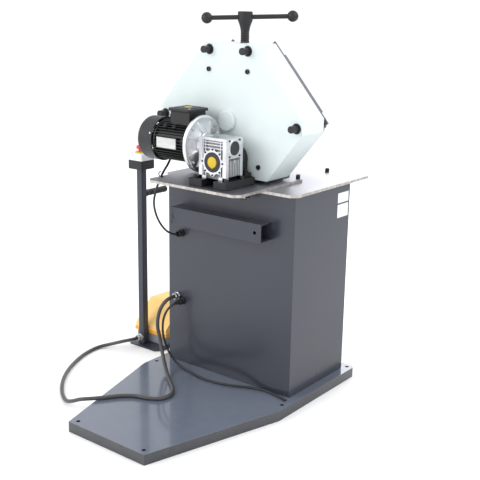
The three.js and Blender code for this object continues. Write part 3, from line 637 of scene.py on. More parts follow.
def smooth_route(points, steps=8):
    """A centripetal Catmull-Rom curve through the points."""
    places = [Vector(point) for point in points]
    places = [2 * places[0] - places[1], *places, 2 * places[-1] - places[-2]]
    route = []
    for a, b, c, d in zip(places, places[1:], places[2:], places[3:]):
        knot_b = math.sqrt((b - a).length)
        knot_c = knot_b + math.sqrt((c - b).length)
        knot_d = knot_c + math.sqrt((d - c).length)
        for step in range(steps):
            t = knot_b + (knot_c - knot_b) * step / steps
            ab = a.lerp(b, t / knot_b)
            bc = b.lerp(c, (t - knot_b) / (knot_c - knot_b))
            cd = c.lerp(d, (t - knot_c) / (knot_d - knot_c))
            abc = ab.lerp(bc, t / knot_c)
            bcd = bc.lerp(cd, (t - knot_b) / (knot_d - knot_b))
            route.append(abc.lerp(bcd, (t - knot_b) / (knot_c - knot_b)))
    return [*route, places[-2]]


def cord(name, points, radius, look):
    """One cord along its route, which stands for the CAD tube of the same name."""
    route = smooth_route(points)
    work = bmesh.new()
    tube(route, radius, 16)(work)
    mesh = bpy.data.meshes.new(name + "_sheath")
    work.to_mesh(mesh)
    work.free()
    for polygon in mesh.polygons:
        polygon.use_smooth = True
    mesh.set_sharp_from_angle(angle=math.radians(50))
    mesh.materials.append(LOOKS[look])
    made = bpy.data.objects.new(name + "_sheath", mesh)
    SCENE.collection.objects.link(made)
    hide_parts(name)
    return made


def cords():
    """The motor's cable, the mains lead with its strain relief, and the pedestal's conduit."""
    motor_cable = cord("motor_cable", MOTOR_CABLE_ROUTE, 4 * MM, "cord_rubber")
    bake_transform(motor_cable)

    start = Vector(MAINS_ROUTE[0])
    taper = [(0, 0), (8.6, 0), (8.2, 3), (7.8, 4), (7.9, 7), (7.0, 8), (7.1, 11), (6.3, 12), (6.4, 15),
             (5.7, 16), (5.2, 22), (4.5, 24), (0, 24)]
    boot = build("mains_strain_relief", [lathe([(r * MM, h * MM) for r, h in taper], seat(start, Y), 24)],
                 "black_plastic", "stand")
    mains = cord("mains_lead", MAINS_ROUTE, 4.3 * MM, "cord_rubber")
    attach(mains, "stand")
    conduit = cord("control_conduit", CONDUIT_ROUTE, 7 * MM, "conduit_skin")
    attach(conduit, "stand")


cords()


# ---------- floor stand ----------

def blank_plate(name, body, corner_a, corner_b, out, look="blank_plate"):
    """A blank rating plate with a rivet near each corner, on a face that points out."""
    shapes = [block(corner_a, corner_b)]
    inset = 4.5 * MM
    lows = [min(a, b) for a, b in zip(corner_a, corner_b)]
    highs = [max(a, b) for a, b in zip(corner_a, corner_b)]
    axis = max(range(3), key=lambda index: abs(out[index]))
    first, second = [index for index in range(3) if index != axis]
    face = highs[axis] if out[axis] > 0 else lows[axis]
    for u in (lows[first] + inset, highs[first] - inset):
        for v in (lows[second] + inset, highs[second] - inset):
            place = at(0, 0, 0)
            place[axis], place[first], place[second] = face, u, v
            shapes.append(lathe(rounded(1.6 * MM, -0.3 * MM, 1.0 * MM, 0.7 * MM), seat(place, out), 16))
    build(name, shapes, look, body, bevel=0.0003)


def plate_bolt(place):
    """One of the black cap screws that stand on the two steel plates."""
    return socket_screw(place, Z, 8 * MM, 14 * MM)


def floor_stand():
    """Base tray, cabinet with its door, plates and the channel that the head tilts back onto."""
    keep("base_tray", "base_paint", 0.0016, 3)
    keep("cabinet", "cabinet_paint", 0.0012)
    keep("cabinet_door", "slate_paint", 0.002, 3)
    keep("door_knob", "black_plastic", 0.001)
    keep("tilt_bracket", "slate_paint", 0.0022, 3)
    keep("lower_plate", "plate_steel", 0.0006)
    keep("hinge_rod", "black_steel", 0.0006)

    axis = at(high("cabinet_door").x + 3 * MM, low("cabinet_door").y - 1 * MM, 0)
    wall = low("cabinet").y
    shapes = []
    for height in (0.17, 0.404, 0.64):
        shapes.append(bar(3 * MM, axis + Z * (height - 0.03), axis + Z * (height + 0.03), 0.0006, 20))
        shapes.append(block(at(axis.x - 1.2 * MM, axis.y, height - 0.026),
                            at(axis.x + 1.2 * MM, wall, height + 0.026)))
        shapes.append(block(at(axis.x - 1.2 * MM, wall - 2 * MM, height - 0.03),
                            at(axis.x + 26 * MM, wall - 0.2 * MM, height + 0.03)))
    build("door_hinges", shapes, "slate_paint", "stand", bevel=0.0004)

    side = low("cabinet").x
    for name, low_z, high_z in (("side_plate_upper", 0.709, 0.746), ("side_plate_lower", 0.654, 0.703)):
        blank_plate(name, "stand", at(side - 0.9 * MM, -0.4135, low_z), at(side - 0.1 * MM, -0.341, high_z),
                    -X, "white_plastic")

    top = high("lower_plate").z
    bolts = [plate_bolt(at(x, -0.4945, top)) for x in (-0.281, 0.061)]
    build("lower_plate_bolts", bolts, "black_steel", "stand")


# ---------- tilting head ----------

def ring(place, direction, inner, outer, height, lip=0.0008):
    """A flat ring with softened edges, standing on a place."""
    profile = [
        (inner, 0), (outer, 0), (outer, height - lip), (outer - lip, height), (inner + lip, height),
        (inner, height - lip),
    ]
    return lathe(profile, seat(place, direction), 40, closed=True)


def hex_nut(place, direction, across, height, bore, about=0.0):
    """A hexagon nut with chamfered corners and an open bore."""
    flat = across / 2
    profile = [
        (bore, 0), (flat * 0.94, 0, 0), (flat, height * 0.08, 6), (flat, height * 0.9, 6),
        (flat * 0.95, height),
        (bore + 0.001, height), (bore, height - 0.001),
    ]
    return lathe(profile, seat(place, direction, about), 48, closed=True)


ROD_NAMES = ["tie_rod_1", "tie_rod_2", "tie_rod_3", "tie_rod_4"]


def casing():
    """The pale gear casing, its front plate and the four tie rods that hold both."""
    keep("gear_casing", "pale_paint", 0.0022, 3)
    keep("front_plate", "slate_paint", 0.001)
    for side in ("right", "left"):
        keep(f"edge_bar_{side}", "edge_paint", 0.001)
    back = high("gear_casing").y - 13 * MM
    centre_x = middle("gear_casing").x
    grommets = []
    nuts = []
    for name in ROD_NAMES:
        rod = middle(name)
        keep(name, "black_steel", 0.0012, 3)
        rear = at(rod.x, back, rod.z)
        grommets.append(ring(rear - Y * 2 * MM, Y, 12.8 * MM, 18.5 * MM, 4.5 * MM, 0.0015))
        nuts.append(hex_nut(at(rod.x, -0.2391, rod.z), -Y, 34 * MM, 11 * MM, 12.7 * MM, 0.4))
    build("rod_grommets", grommets, "seal_rubber", "head")
    build("rod_nuts", nuts, "black_steel", "head", bevel=0.0004)

    screws = []
    for offset, height in ((0.0865, 1.1795), (0.142, 0.854)):
        for side in (-1, 1):
            screws.append(socket_screw(at(centre_x + side * offset, back, height), Y, 8.5 * MM, 5.5 * MM))
    build("casing_screws", screws, "black_steel", "head")

    foot_top = low("front_plate").z + 10.2 * MM
    bolts = []
    for offset in (-0.118, -0.05, 0.05, 0.118):
        place = at(centre_x + offset, low("front_plate").y + 17 * MM, foot_top)
        bolts.append(hex_head(place, Z, 19 * MM, 9 * MM, 0.3 + offset))
    build("foot_bolts", bolts, "zinc", "head", bevel=0.0004)

    plate_face = at(0, -0.2325, 0)
    heads = []
    for side in (-1, 1):
        for height in (1.045, 1.125, 1.2):
            heads.append(socket_screw(at(centre_x + side * 0.055, plate_face.y, height), -Y, 5 * MM, 4 * MM))
    build("slot_screws", heads, "black_steel", "head")


def upper_plate():
    """The tilting plate with its bolts and the clip that holds the motor cable at its edge."""
    keep("upper_plate", "plate_steel", 0.0006)
    top = high("upper_plate").z
    plate_low, plate_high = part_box("upper_plate")
    bolts = [plate_bolt(at(x, plate_low.y + 20 * MM, top))
             for x in (plate_low.x + 20 * MM, plate_high.x - 20 * MM)]
    build("upper_plate_bolts", bolts, "black_steel", "head")

    anchor = at(plate_high.x - 9 * MM, 0.044, top)
    strap = [anchor + mm(-8, 0, 1.2), anchor + mm(4, 0, 1.2), anchor + mm(11, -2, 4), anchor + mm(15, -5, 10),
             anchor + mm(13, -8, 15), anchor + mm(8, -10, 16)]
    build("cable_clip", [tube(strap, 1.8 * MM, 10), hex_head(anchor + mm(-4, 0, 1), Z, 8 * MM, 4 * MM)],
          "black_steel", "head")


def forming_roll(name, node, body):
    """A grooved roll with softened rims, a hub recess and a nut on its shaft."""
    lo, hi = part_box(node)
    centre = middle(node)
    width = hi.y - lo.y
    radius = (hi.z - lo.z) / 2
    bore = 15.3 * MM
    groove = 9 * MM
    profile = [
        (bore, 2 * MM), (24 * MM, 2 * MM), (25 * MM, 0), (radius - 3 * MM, 0), (radius, 3 * MM),
        (radius, width * 0.27), (radius - 1.5 * MM, width * 0.3),
    ]
    for step in range(13):
        turn = math.pi * step / 12
        profile.append((radius - 2 * MM - groove * math.sin(turn), width * (0.5 - 0.19 * math.cos(turn))))
    profile += [
        (radius - 1.5 * MM, width * 0.7), (radius, width * 0.73), (radius, width - 3 * MM),
        (radius - 3 * MM, width), (bore, width),
    ]
    matrix = seat(at(centre.x, lo.y, centre.z), Y)
    build(name, [lathe(profile, matrix, 96, closed=True)], "turned_steel", body, [node])
    face = at(centre.x, lo.y, centre.z)
    shapes = [
        ring(face - Y * 3.2 * MM, Y, 15.2 * MM, 27 * MM, 3 * MM, 0.0006),
        hex_nut(face - Y * 3.4 * MM, -Y, 46 * MM, 14 * MM, 15.1 * MM, 0.2),
    ]
    build(name + "_nut", shapes, "zinc", body)


def rolls():
    """The two driven rolls, the sliding top roll and its screw with the tommy bar."""
    for side in ("right", "left"):
        keep(f"roll_shaft_{side}", "turned_steel", 0.0008)
        forming_roll(f"driven_roll_{side}", f"lower_roll_{side}", f"{side}_roll")
    keep("top_roll_shaft", "turned_steel", 0.0008)
    forming_roll("top_forming_roll", "top_roll", "upper_roll")
    keep("slide_block", "black_steel", 0.0012)
    keep("idler_gear", "black_steel", 0.0006)
    keep("drive_shaft", "turned_steel", 0.0006)

    lo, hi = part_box("lead_screw")
    centre = middle("lead_screw")
    matrix = Matrix.Translation(at(centre.x, centre.y, 0))
    neck = hi.z - 0.065
    head = [
        (0, neck - 0.001), (16 * MM, neck), (16.2 * MM, neck + 0.003), (19 * MM, neck + 0.014),
        (23 * MM, neck + 0.025),
        (25.6 * MM, neck + 0.031), (26.5 * MM, neck + 0.036), (26.5 * MM, hi.z - 0.0025),
        (24.5 * MM, hi.z - 0.0004),
        (0, hi.z - 0.0004),
    ]
    shapes = [screw_thread(16 * MM, 1.6 * MM, 6 * MM, lo.z, neck, matrix, 40, 8), lathe(head, matrix, 56)]
    build("lead_screw_turned", shapes, "black_steel", "screw", ["lead_screw"])

    joint = next(j for j in frame["joints"] if j["name"] == "tommy_bar_slide")
    axis = Vector(joint["axis"])
    centre = at(centre.x, centre.y, hi.z - 20 * MM)
    ends = [centre + axis * 135 * MM, centre - axis * 167 * MM]
    shapes = [bar(8 * MM, ends[0], ends[1]), *(ball(20 * MM, end) for end in ends)]
    build("tommy_bar_forged", shapes, "black_steel", "bar", ["tommy_bar"])


# ---------- drive ----------

def gearbox():
    """The worm gearbox: ribbed housing, output flange with its cap, input cover and the screws of both."""
    lo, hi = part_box("gearbox_housing")
    centre = middle("gearbox_housing")
    out_z = lo.z + 0.06
    in_z = lo.z + 0.11
    core = []
    shapes = []
    corner = 12 * MM
    x0, x1 = lo.x + 3 * MM, hi.x - 3 * MM
    z0, z1 = lo.z + 0.5 * MM, hi.z - 2 * MM
    outline = [(x0 + corner, z0), (x1 - corner, z0), (x1, z0 + corner), (x1, z1 - corner), (x1 - corner, z1),
               (x0 + corner, z1), (x0, z1 - corner), (x0, z0 + corner)]
    upright = Matrix.Rotation(math.pi / 2, 4, "X")
    depth = hi.y - lo.y
    core.append(prism(outline, depth - 20 * MM, Matrix.Translation(at(0, hi.y - 10 * MM, 0)) @ upright))
    for x in (lo.x, hi.x - 15 * MM):
        for y in (lo.y, hi.y - 15 * MM):
            shapes.append(block(at(x, y, lo.z), at(x + 15 * MM, y + 15 * MM, hi.z - 3 * MM)))
    shapes.append(block(at(lo.x + 1 * MM, lo.y + 1 * MM, hi.z - 9 * MM),
                        at(hi.x - 1 * MM, hi.y - 1 * MM, hi.z)))
    for y in (lo.y, hi.y - 15 * MM):
        shapes.append(block(at(lo.x, y, lo.z), at(lo.x + 32 * MM, y + 15 * MM, lo.z + 12 * MM)))
        shapes.append(block(at(hi.x - 32 * MM, y, lo.z), at(hi.x, y + 15 * MM, lo.z + 12 * MM)))
    for index in range(6):
        y = lo.y + 21 * MM + index * 9.2 * MM
        shapes.append(block(at(lo.x, y, lo.z + 13 * MM), at(lo.x + 12 * MM, y + 3 * MM, lo.z + 68 * MM)))
    for offset in (-44, -33, 33, 44):
        x = centre.x + offset * MM
        shapes.append(block(at(x - 1.5 * MM, hi.y - 14 * MM, lo.z + 14 * MM),
                            at(x + 1.5 * MM, hi.y - 4 * MM, hi.z - 10 * MM)))
    for height in (106, 117, 127):
        z = lo.z + height * MM
        shapes.append(block(at(lo.x + 8 * MM, hi.y - 14 * MM, z),
                            at(hi.x - 8 * MM, hi.y - 5 * MM, z + 3 * MM)))
    for y, direction in ((hi.y, Y), (lo.y, -Y)):
        base = at(centre.x, y, out_z) - direction * 16 * MM
        scallops = 8
        steps = 96
        rim = []
        for step in range(steps):
            turn = 2 * math.pi * step / steps
            reach = (45.5 + 4.5 * math.cos(scallops * turn)) * MM
            rim.append((reach * math.cos(turn), reach * math.sin(turn)))
        shapes.append(prism(rim, 15.5 * MM, seat(base, direction)))
        shapes.append(ring(at(centre.x, y, out_z) - direction * 1 * MM, direction, 35.5 * MM, 40 * MM,
                           1.4 * MM, 0.0004))
    # The recessed core takes the dark casting: painted shade between the bright ribs and frames.
    build("gearbox_core", core, "painted_shade_casting", "head", bevel=0.0011)
    cover = at(lo.x, centre.y, in_z)
    shapes.append(block(cover + mm(0.4, -34, -34), cover + mm(12, 34, 33)))
    shapes.append(ring(cover + mm(1, 0, 0), -X, 24.5 * MM, 31 * MM, 2.4 * MM, 0.0006))
    shapes.append(lathe(rounded(36 * MM, 0, 22 * MM, 0.002), seat(at(hi.x - 22 * MM, centre.y, in_z), X), 56))
    build("gearbox_cast", shapes, "cast_aluminium", "head", ["gearbox_housing"],
          bevel=0.0011, segments=2)

    rear = at(centre.x, hi.y, out_z)
    seal = in_mm([(13, -6), (35, -6), (35, 0.4), (33.5, 1.2), (30, 0.6),
            (27, 1.3), (20, 1.0), (13, 1.0)])
    build("output_seal", [lathe(seal, seat(rear, Y), 56, closed=True)], "seal_rubber", "head")
    cap = in_mm([(0, 0), (19.5, 0), (19.5, 2), (17.5, 4), (6, 4.6), (0, 4.6)])
    nub = lathe(rounded(3 * MM, 0, 3 * MM, 0.001), seat(rear + mm(0, 0, -19), Y), 20)
    build("output_cap", [lathe(cap, seat(rear, Y), 48), nub], "yellow_cap", "head")
    plug = in_mm([(0, 0), (24, 0), (24, 2.6), (22.5, 3.8), (20, 3), (0, 3)])
    build("input_cap", [lathe(plug, seat(cover + mm(0.5, 0, 0), -X), 48)], "seal_rubber", "head")
    sight_place = at(lo.x + 2 * MM, centre.y + 2 * MM, out_z + 4 * MM)
    sight = lathe(rounded(7 * MM, 0, 4 * MM, 0.001), seat(sight_place, -X), 6)
    build("oil_plug", [sight], "zinc", "head", bevel=0.0005)

    screws = []
    for step in range(8):
        turn = 2 * math.pi * step / 8
        place = rear + at(math.cos(turn), 0, math.sin(turn)) * 44.5 * MM - Y * 1.5 * MM
        screws.append(socket_screw(place, Y, 3.6 * MM, 3 * MM))
    for y in (-27, 27):
        for z in (-27, 27):
            screws.append(socket_screw(cover + mm(0.8, y, z), -X, 3.6 * MM, 3 * MM))
    build("gearbox_screws", screws, "black_steel", "head")


def motor():
    """The motor: round flange, finned barrel, terminal box, fan and its cowl."""
    lo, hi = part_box("motor_flange")
    centre = middle("motor_flange")
    radius = (hi.z - lo.z) / 2
    start = at(lo.x, centre.y, centre.z)
    matrix = seat(start, X)
    back = hi.x - lo.x
    bore = 10.6 * MM
    bell = [
        (bore, 0), (40 * MM, 0), (42 * MM, 1.5 * MM), (44 * MM, 9 * MM), (60 * MM, 14.5 * MM),
        (86 * MM, 17 * MM),
        (89 * MM, 15.6 * MM), (radius - 3 * MM, 15.6 * MM), (radius - 0.6 * MM, 17 * MM), (radius, 19 * MM),
        (radius, back - 5 * MM), (radius - 2 * MM, back - 3 * MM), (78 * MM, back - 2 * MM), (74 * MM, back),
        (bore, back),
    ]
    shapes = [lathe(bell, matrix, 96, closed=True)]
    for step in range(8):
        turn = math.pi * (step + 0.5) / 4
        outward = at(0, math.cos(turn), math.sin(turn))
        outline = in_mm([(38, 1.5), (56, 5), (84, 14), (84, 18), (38, 16)])
        columns = Matrix((outward, X, outward.cross(X))).transposed().to_4x4()
        side = Matrix.Translation(start) @ columns
        shapes.append(prism(outline, 4 * MM, side @ Matrix.Translation(at(0, 0, -2 * MM))))
    build("motor_flange_cast", shapes, "cast_aluminium", "head", ["motor_flange"], bevel=0.0006)
    bolts = []
    for step in range(4):
        turn = math.pi / 4 + math.pi / 2 * step
        place = start + at(16 * MM, 82 * MM * math.cos(turn), 82 * MM * math.sin(turn))
        bolts.append(hex_head(place, -X, 10 * MM, 5 * MM, 0.2))
    build("flange_bolts", bolts, "zinc", "head", bevel=0.0003)

    lo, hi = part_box("motor_body")
    radius = (hi.z - lo.z) / 2
    start = at(lo.x, centre.y, centre.z)
    length = hi.x - lo.x
    matrix = seat(start, X)
    core = radius - 11 * MM
    fins = []
    count = 40
    for index in range(count):
        turn = 2 * math.pi * index / count
        for reach, offset in ((core, -0.024), (radius, -0.016), (radius, 0.016), (core, 0.024)):
            fins.append((reach * math.cos(turn + offset), reach * math.sin(turn + offset)))
    shapes = [prism(fins, length - 16 * MM, matrix @ Matrix.Translation(at(0, 0, 8 * MM)))]
    for start_at, end_at in ((0, 8.5 * MM), (length - 8.5 * MM, length)):
        shapes.append(lathe(rounded(radius - 1 * MM, start_at, end_at, 0.0012), matrix, 72))
    axis_place = at(0, centre.y, centre.z)
    for x in (lo.x + 76 * MM, lo.x + 118 * MM):
        outward = at(0, 0.67, 0.742)
        foot = axis_place + X * x + outward * (core - 2 * MM)
        shapes.append(bar(7.5 * MM, foot, foot + outward * 20 * MM, 0.002, 24))
        shapes.append(bar(4.2 * MM, foot + outward * 19 * MM, foot + outward * 23 * MM, 0.001, 20))
    plate_x = lo.x + 97 * MM
    face = centre.y + radius
    shapes.append(block(at(plate_x - 48 * MM, face - 12 * MM, centre.z - 22 * MM),
                        at(plate_x + 48 * MM, face - 0.4 * MM, centre.z + 20 * MM)))
    build("motor_barrel", shapes, "black_paint", "head", ["motor_body"], bevel=0.0005)
    blank_plate("motor_plate", "head", at(plate_x - 45 * MM, face - 0.3 * MM, centre.z - 19 * MM),
                at(plate_x + 45 * MM, face + 0.6 * MM, centre.z + 17 * MM), Y)

    keep("terminal_box", "black_paint", 0.0025, 3)
    keep("terminal_lid", "black_paint", 0.003, 3)
    lid_low, lid_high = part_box("terminal_lid")
    top = lid_high.z
    screws = []
    for x in (lid_low.x + 9 * MM, lid_high.x - 9 * MM):
        for y in (lid_low.y + 9 * MM, lid_high.y - 9 * MM):
            screws.append(socket_screw(at(x, y, top - 0.4 * MM), Z, 3.6 * MM, 2.6 * MM))
    build("lid_screws", screws, "zinc", "head")
    lid_middle = (lid_low + lid_high) / 2
    build("lid_panel", [block(at(lid_low.x + 19 * MM, lid_low.y + 17 * MM, top - 1 * MM),
                              at(lid_high.x - 19 * MM, lid_high.y - 17 * MM, top + 1.6 * MM))],
          "black_paint", "head", bevel=0.0012)
    spot_place = at(lid_middle.x, lid_middle.y, top + 1.6 * MM)
    build("lid_spot", [lathe(rounded(14 * MM, 0, 0.5 * MM, 0.0002), seat(spot_place), 40)],
          "yellow_cap", "head")
    glands = []
    box_high = high("terminal_box")
    for y in (MOTOR_CABLE_ROUTE[0][1], MOTOR_CABLE_ROUTE[0][1] + 0.052):
        place = at(box_high.x - 1 * MM, y, MOTOR_CABLE_ROUTE[0][2] - 1 * MM)
        profile = in_mm([(0, 0), (11, 0, 6), (11, 6, 6), (9.5, 7), (9.5, 14, 12),
                   (8.6, 16, 12), (5, 17), (0, 17)])
        glands.append(lathe(profile, seat(place, X), 48))
    build("terminal_glands", glands, "black_plastic", "head")

    fan_and_cowl(centre)


def fan_and_cowl(centre):
    """A pressed cowl with a ring grille, and the bladed fan that turns inside it."""
    lo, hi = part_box("fan_cowl")
    radius = (hi.z - lo.z) / 2
    length = hi.x - lo.x
    matrix = seat(at(lo.x, centre.y, centre.z), X)
    wall = 1.6 * MM
    shell = [(radius - 1.4 * MM, 0), (radius, 0.5 * MM), (radius, 3 * MM), (radius - 0.8 * MM, 5 * MM),
             (radius - 0.8 * MM, length - 18 * MM)]
    for step in range(1, 7):
        turn = math.pi / 2 * step / 6
        shell.append((radius - 0.8 * MM - 14 * MM * (1 - math.cos(turn)),
                      length - 18 * MM + 17.6 * MM * math.sin(turn)))
    shell += [(62 * MM, length), (62 * MM, length - wall), (radius - 17 * MM, length - wall - 1 * MM),
              (radius - 4 * MM, length - 19 * MM), (radius - 4 * MM, 0)]
    shapes = [lathe(shell, matrix, 72, closed=True)]
    for reach in range(14, 62, 8):
        shapes.append(ring(at(hi.x - 3 * MM, centre.y, centre.z), X, reach * MM, (reach + 2.4) * MM,
                           2.2 * MM, 0.0005))
    for step in range(6):
        turn = math.pi / 3 * step
        out = at(0, math.cos(turn), math.sin(turn))
        hub = at(hi.x - 2.6 * MM, centre.y, centre.z)
        shapes.append(tube([hub + out * 15 * MM, hub + out * 64 * MM], 1.4 * MM, 8))
    shapes.append(lathe(rounded(15 * MM, length - 3 * MM, length - 0.8 * MM, 0.0006), matrix, 40))
    build("fan_cowl_pressed", shapes, "dark_plastic", "head", ["fan_cowl"])
    screws = [socket_screw(at(lo.x + 8 * MM, centre.y + (radius - 1.2 * MM) * math.cos(turn),
                                   centre.z + (radius - 1.2 * MM) * math.sin(turn)),
                           at(0, math.cos(turn), math.sin(turn)), 3.4 * MM, 2.4 * MM)
              for turn in (0.35, math.pi - 0.35, math.pi + 0.9, -0.9)]
    build("cowl_screws", screws, "zinc", "head")

    rotor_low, rotor_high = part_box("motor_rotor")
    fan_matrix = seat(at(rotor_high.x, centre.y, centre.z), -X)
    hub = [(0, 0), (14 * MM, 0), (16 * MM, 2 * MM), (17 * MM, 30 * MM), (60 * MM, 32 * MM),
           (60 * MM, 34 * MM),
           (9.4 * MM, 34 * MM), (9.4 * MM, rotor_high.x - rotor_low.x), (0, rotor_high.x - rotor_low.x)]
    shapes = [lathe(hub, fan_matrix, 48)]
    for step in range(9):
        turn = Matrix.Rotation(2 * math.pi * step / 9, 4, "Z")
        blade = in_mm([(15, 2), (56, 8), (60, 33), (15, 33)])
        lay_down = Matrix.Rotation(math.pi / 2, 4, "X")
        shapes.append(prism(blade, 2 * MM, fan_matrix @ turn @ lay_down))
    build("fan", shapes, "black_plastic", "rotor", ["motor_rotor"])


def drive_seats():
    """The blocks under the gearbox and the bearing between it and the casing."""
    for name in ("drive_block_left", "drive_block_right"):
        keep(name, "black_steel", 0.0016, 3)
    keep("pillow_block", "black_paint", 0.0022, 3)
    top = high("drive_block_left").z
    bolts = []
    gear_low, gear_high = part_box("gearbox_housing")
    for x in (gear_low.x - 6 * MM, gear_high.x + 11 * MM):
        for y in (gear_low.y + 10 * MM, gear_high.y + 6 * MM):
            bolts.append(socket_screw(at(x, y, top), Z, 7 * MM, 10 * MM))
            bolts.append(ring(at(x, y, top), Z, 4 * MM, 9.5 * MM, 1.6 * MM, 0.0004))
    build("drive_bolts", bolts, "black_steel", "head")
    block_low, block_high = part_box("pillow_block")
    middle_y = middle("pillow_block").y
    bolts = [hex_head(at(x, middle_y, block_low.z + 14 * MM), Z, 17 * MM, 9 * MM, 0.4)
             for x in (block_low.x + 13 * MM, block_high.x - 13 * MM)]
    build("bearing_bolts", bolts, "black_steel", "head", bevel=0.0004)


# ---------- pedestal and foot switch ----------

def pedestal():
    """The footplate, pole and grip, with the emergency-stop box on top."""
    keep("pedestal_footplate", "slate_paint", 0.001)
    keep("pedestal_pole", "slate_paint", 0.0016, 3)
    grip_low, grip_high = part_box("pedestal_grip")
    centre = middle("pedestal_grip")
    length = grip_high.y - grip_low.y
    profile = in_mm([(0, 0), (9, 0), (11.5, 1.2), (13, 4)])
    for index in range(13):
        along = (9 + index * 8) * MM
        profile += [(13 * MM, along), (12.2 * MM, along + 1.2 * MM), (12.2 * MM, along + 3 * MM),
                    (13 * MM, along + 4.2 * MM)]
    profile += [(13 * MM, length - 10 * MM), (15 * MM, length - 8 * MM), (15 * MM, length - 0.4 * MM),
                (0, length - 0.4 * MM)]
    place = at(centre.x, grip_low.y, centre.z)
    build("pedestal_grip_moulded", [lathe(profile, seat(place, Y), 40)], "grip_rubber", "stand",
          ["pedestal_grip"])

    keep("estop_box_lower", "black_plastic", 0.003, 3)
    keep("estop_box_cover", "white_plastic", 0.003, 3)
    cover_low, cover_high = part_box("estop_box_cover")
    centre = middle("estop_box_cover")
    face = cover_high.z - 3 * MM
    screws = [socket_screw(at(centre.x + x, centre.y + y, face - 0.6 * MM), Z, 3 * MM, 1.4 * MM)
              for x in (-28 * MM, 28 * MM) for y in (-28 * MM, 28 * MM)]
    build("estop_screws", screws, "zinc", "stand")
    collar = in_mm([(13, 2.4), (22.6, -2), (23.4, -2), (23.4, 3.4),
              (21.8, 4.6), (13, 4.6)])
    build("estop_ring", [lathe(collar, seat(at(centre.x, centre.y, face)), 48, closed=True)], "yellow_cap",
          "stand")
    button_low, button_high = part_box("estop_button")
    height = button_high.z - button_low.z
    head = [(0, 0), (11 * MM, 0), (11 * MM, 17 * MM), (16 * MM, 18.5 * MM), (18.6 * MM, 20 * MM),
            (19.7 * MM, 22.5 * MM),
            (20 * MM, 25 * MM), (19.4 * MM, 28 * MM), (17.4 * MM, 31 * MM), (13.6 * MM, height - 2 * MM),
            (8 * MM, height - 0.6 * MM), (0, height)]
    place = at(centre.x, centre.y, button_low.z)
    build("estop_mushroom", [lathe(head, seat(place), 56)], "red_plastic", "emergency_button",
          ["estop_button"])


def foot_switch():
    """The guarded foot switch: grey base, cast hood with a darker lip in painted shade, and its treadle."""
    keep("foot_switch_base", "grey_plastic", 0.002, 3)
    keep("foot_switch_hood", "yellow_paint", 0.0045, 4)
    keep("foot_pedal", "black_plastic", 0.0016, 3)
    lo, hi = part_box("foot_switch_hood")
    lip_low, lip_high = lo.z + 0.3 * MM, lo.z + 15 * MM
    proud = 2.4 * MM
    shapes = [
        block(at(lo.x - proud, lo.y + 2 * MM, lip_low), at(lo.x + 1 * MM, hi.y, lip_high)),
        block(at(hi.x - 1 * MM, lo.y + 2 * MM, lip_low), at(hi.x + proud, hi.y, lip_high)),
        block(at(lo.x - proud, hi.y - 1 * MM, lip_low), at(hi.x + proud, hi.y + proud, lip_high)),
    ]
    # The lip takes a darker orange than the hood: painted shade at the hood's foot.
    build("hood_lip", shapes, "painted_shade_orange", "stand", bevel=0.0014)
    rivets = []
    for y in (lo.y + 0.07, lo.y + 0.16):
        for x, out in ((lo.x, -X), (hi.x, X)):
            rivet = rounded(5 * MM, -0.4 * MM, 2.6 * MM, 0.0018)
            rivets.append(lathe(rivet, seat(at(x, y, lo.z + 50 * MM), out), 24))
    for x in (lo.x + 0.03, hi.x - 0.03):
        rivet = rounded(4 * MM, -0.4 * MM, 2.4 * MM, 0.0016)
        rivets.append(lathe(rivet, seat(at(x, hi.y, lo.z + 23 * MM), Y), 24))
    # The rivets take the same darker orange: painted shade.
    build("hood_rivets", rivets, "painted_shade_orange", "stand")
    pedal_low, pedal_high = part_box("foot_pedal")
    ribs = []
    for index in range(9):
        y = pedal_low.y + (12 + 13 * index) * MM
        ribs.append(block(at(pedal_low.x + 8 * MM, y, pedal_low.z + 9.6 * MM),
                          at(pedal_high.x - 8 * MM, y + 5 * MM, pedal_low.z + 12.2 * MM)))
    build("pedal_ribs", ribs, "grip_rubber", "pedal", bevel=0.0008)


def glands():
    """The glands and conduit fittings with their hexagon nuts."""
    for node, look in (("motor_cable_gland", "black_plastic"), ("mains_gland", "black_plastic"),
                       ("conduit_fitting_cabinet", "zinc"), ("conduit_fitting_pole", "zinc")):
        keep(node, look, 0.0008)
        nut_on_gland(node, look)


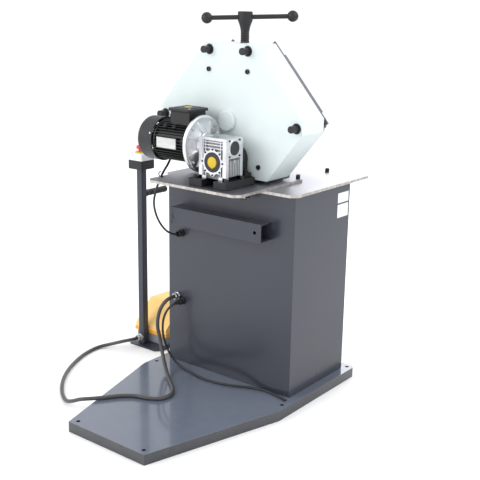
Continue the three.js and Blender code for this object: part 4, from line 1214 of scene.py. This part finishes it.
def nut_on_gland(node, look):
    """A hexagon at a gland's foot and a ribbed clamping nut near its mouth."""
    lo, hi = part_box(node)
    centre = middle(node)
    foot = at(centre.x, lo.y + 0.6 * MM, centre.z)
    mouth = at(centre.x, hi.y - 12 * MM, centre.z)
    ribbed = in_mm([(9.4, 0), (12.6, 0.8, 12), (12.6, 8.5, 12), (10, 11.6), (9.4, 11.6)])
    shapes = [hex_nut(foot, Y, 27 * MM, 7 * MM, 10 * MM, 0.1), lathe(ribbed, seat(mouth, Y), 48, closed=True)]
    build(node + "_nuts", shapes, look, "stand", bevel=0.0003)


floor_stand()
casing()
upper_plate()
rolls()
gearbox()
motor()
drive_seats()
pedestal()
foot_switch()
glands()


# ---------- floor and light ----------

def studio():
    """A pale floor, a bright even surround and three large soft lights."""
    work = bmesh.new()
    bmesh.ops.create_grid(work, x_segments=8, y_segments=8, size=14)
    mesh = bpy.data.meshes.new("floor")
    work.to_mesh(mesh)
    work.free()
    floor = bpy.data.objects.new("floor", mesh)
    SCENE.collection.objects.link(floor)
    graph = Graph("floor")
    shade = graph.blend(graph.steps(graph.noise(0.8, 3.0), 0.3, 0.7), (0.95, 0.95, 0.95), (0.97, 0.97, 0.97))
    graph.use(Base_Color=shade, Roughness=0.7)
    mesh.materials.append(graph.material)

    world = bpy.data.worlds.new("surround")
    world.use_nodes = True
    world.node_tree.nodes["Background"].inputs["Color"].default_value = (0.97, 0.98, 1.0, 1)
    world.node_tree.nodes["Background"].inputs["Strength"].default_value = 1.1
    SCENE.world = world
    SCENE.view_settings.view_transform = "Standard"

    centre = at(0, 0, 0.7)
    for name, place, size, power in (
        ("key", (-3.2, -0.6, 3.4), 2.4, 50),
        ("fill", (1.8, 3.6, 2.6), 2.6, 80),
        ("front", (0.8, -3.8, 2.6), 2.6, 60),
    ):
        data = bpy.data.lights.new(name, "AREA")
        data.energy = power
        data.size = size
        lamp = bpy.data.objects.new(name, data)
        lamp.location = place
        lamp.rotation_mode = "QUATERNION"
        lamp.rotation_quaternion = (centre - Vector(place)).to_track_quat("-Z", "Y")
        SCENE.collection.objects.link(lamp)


studio()
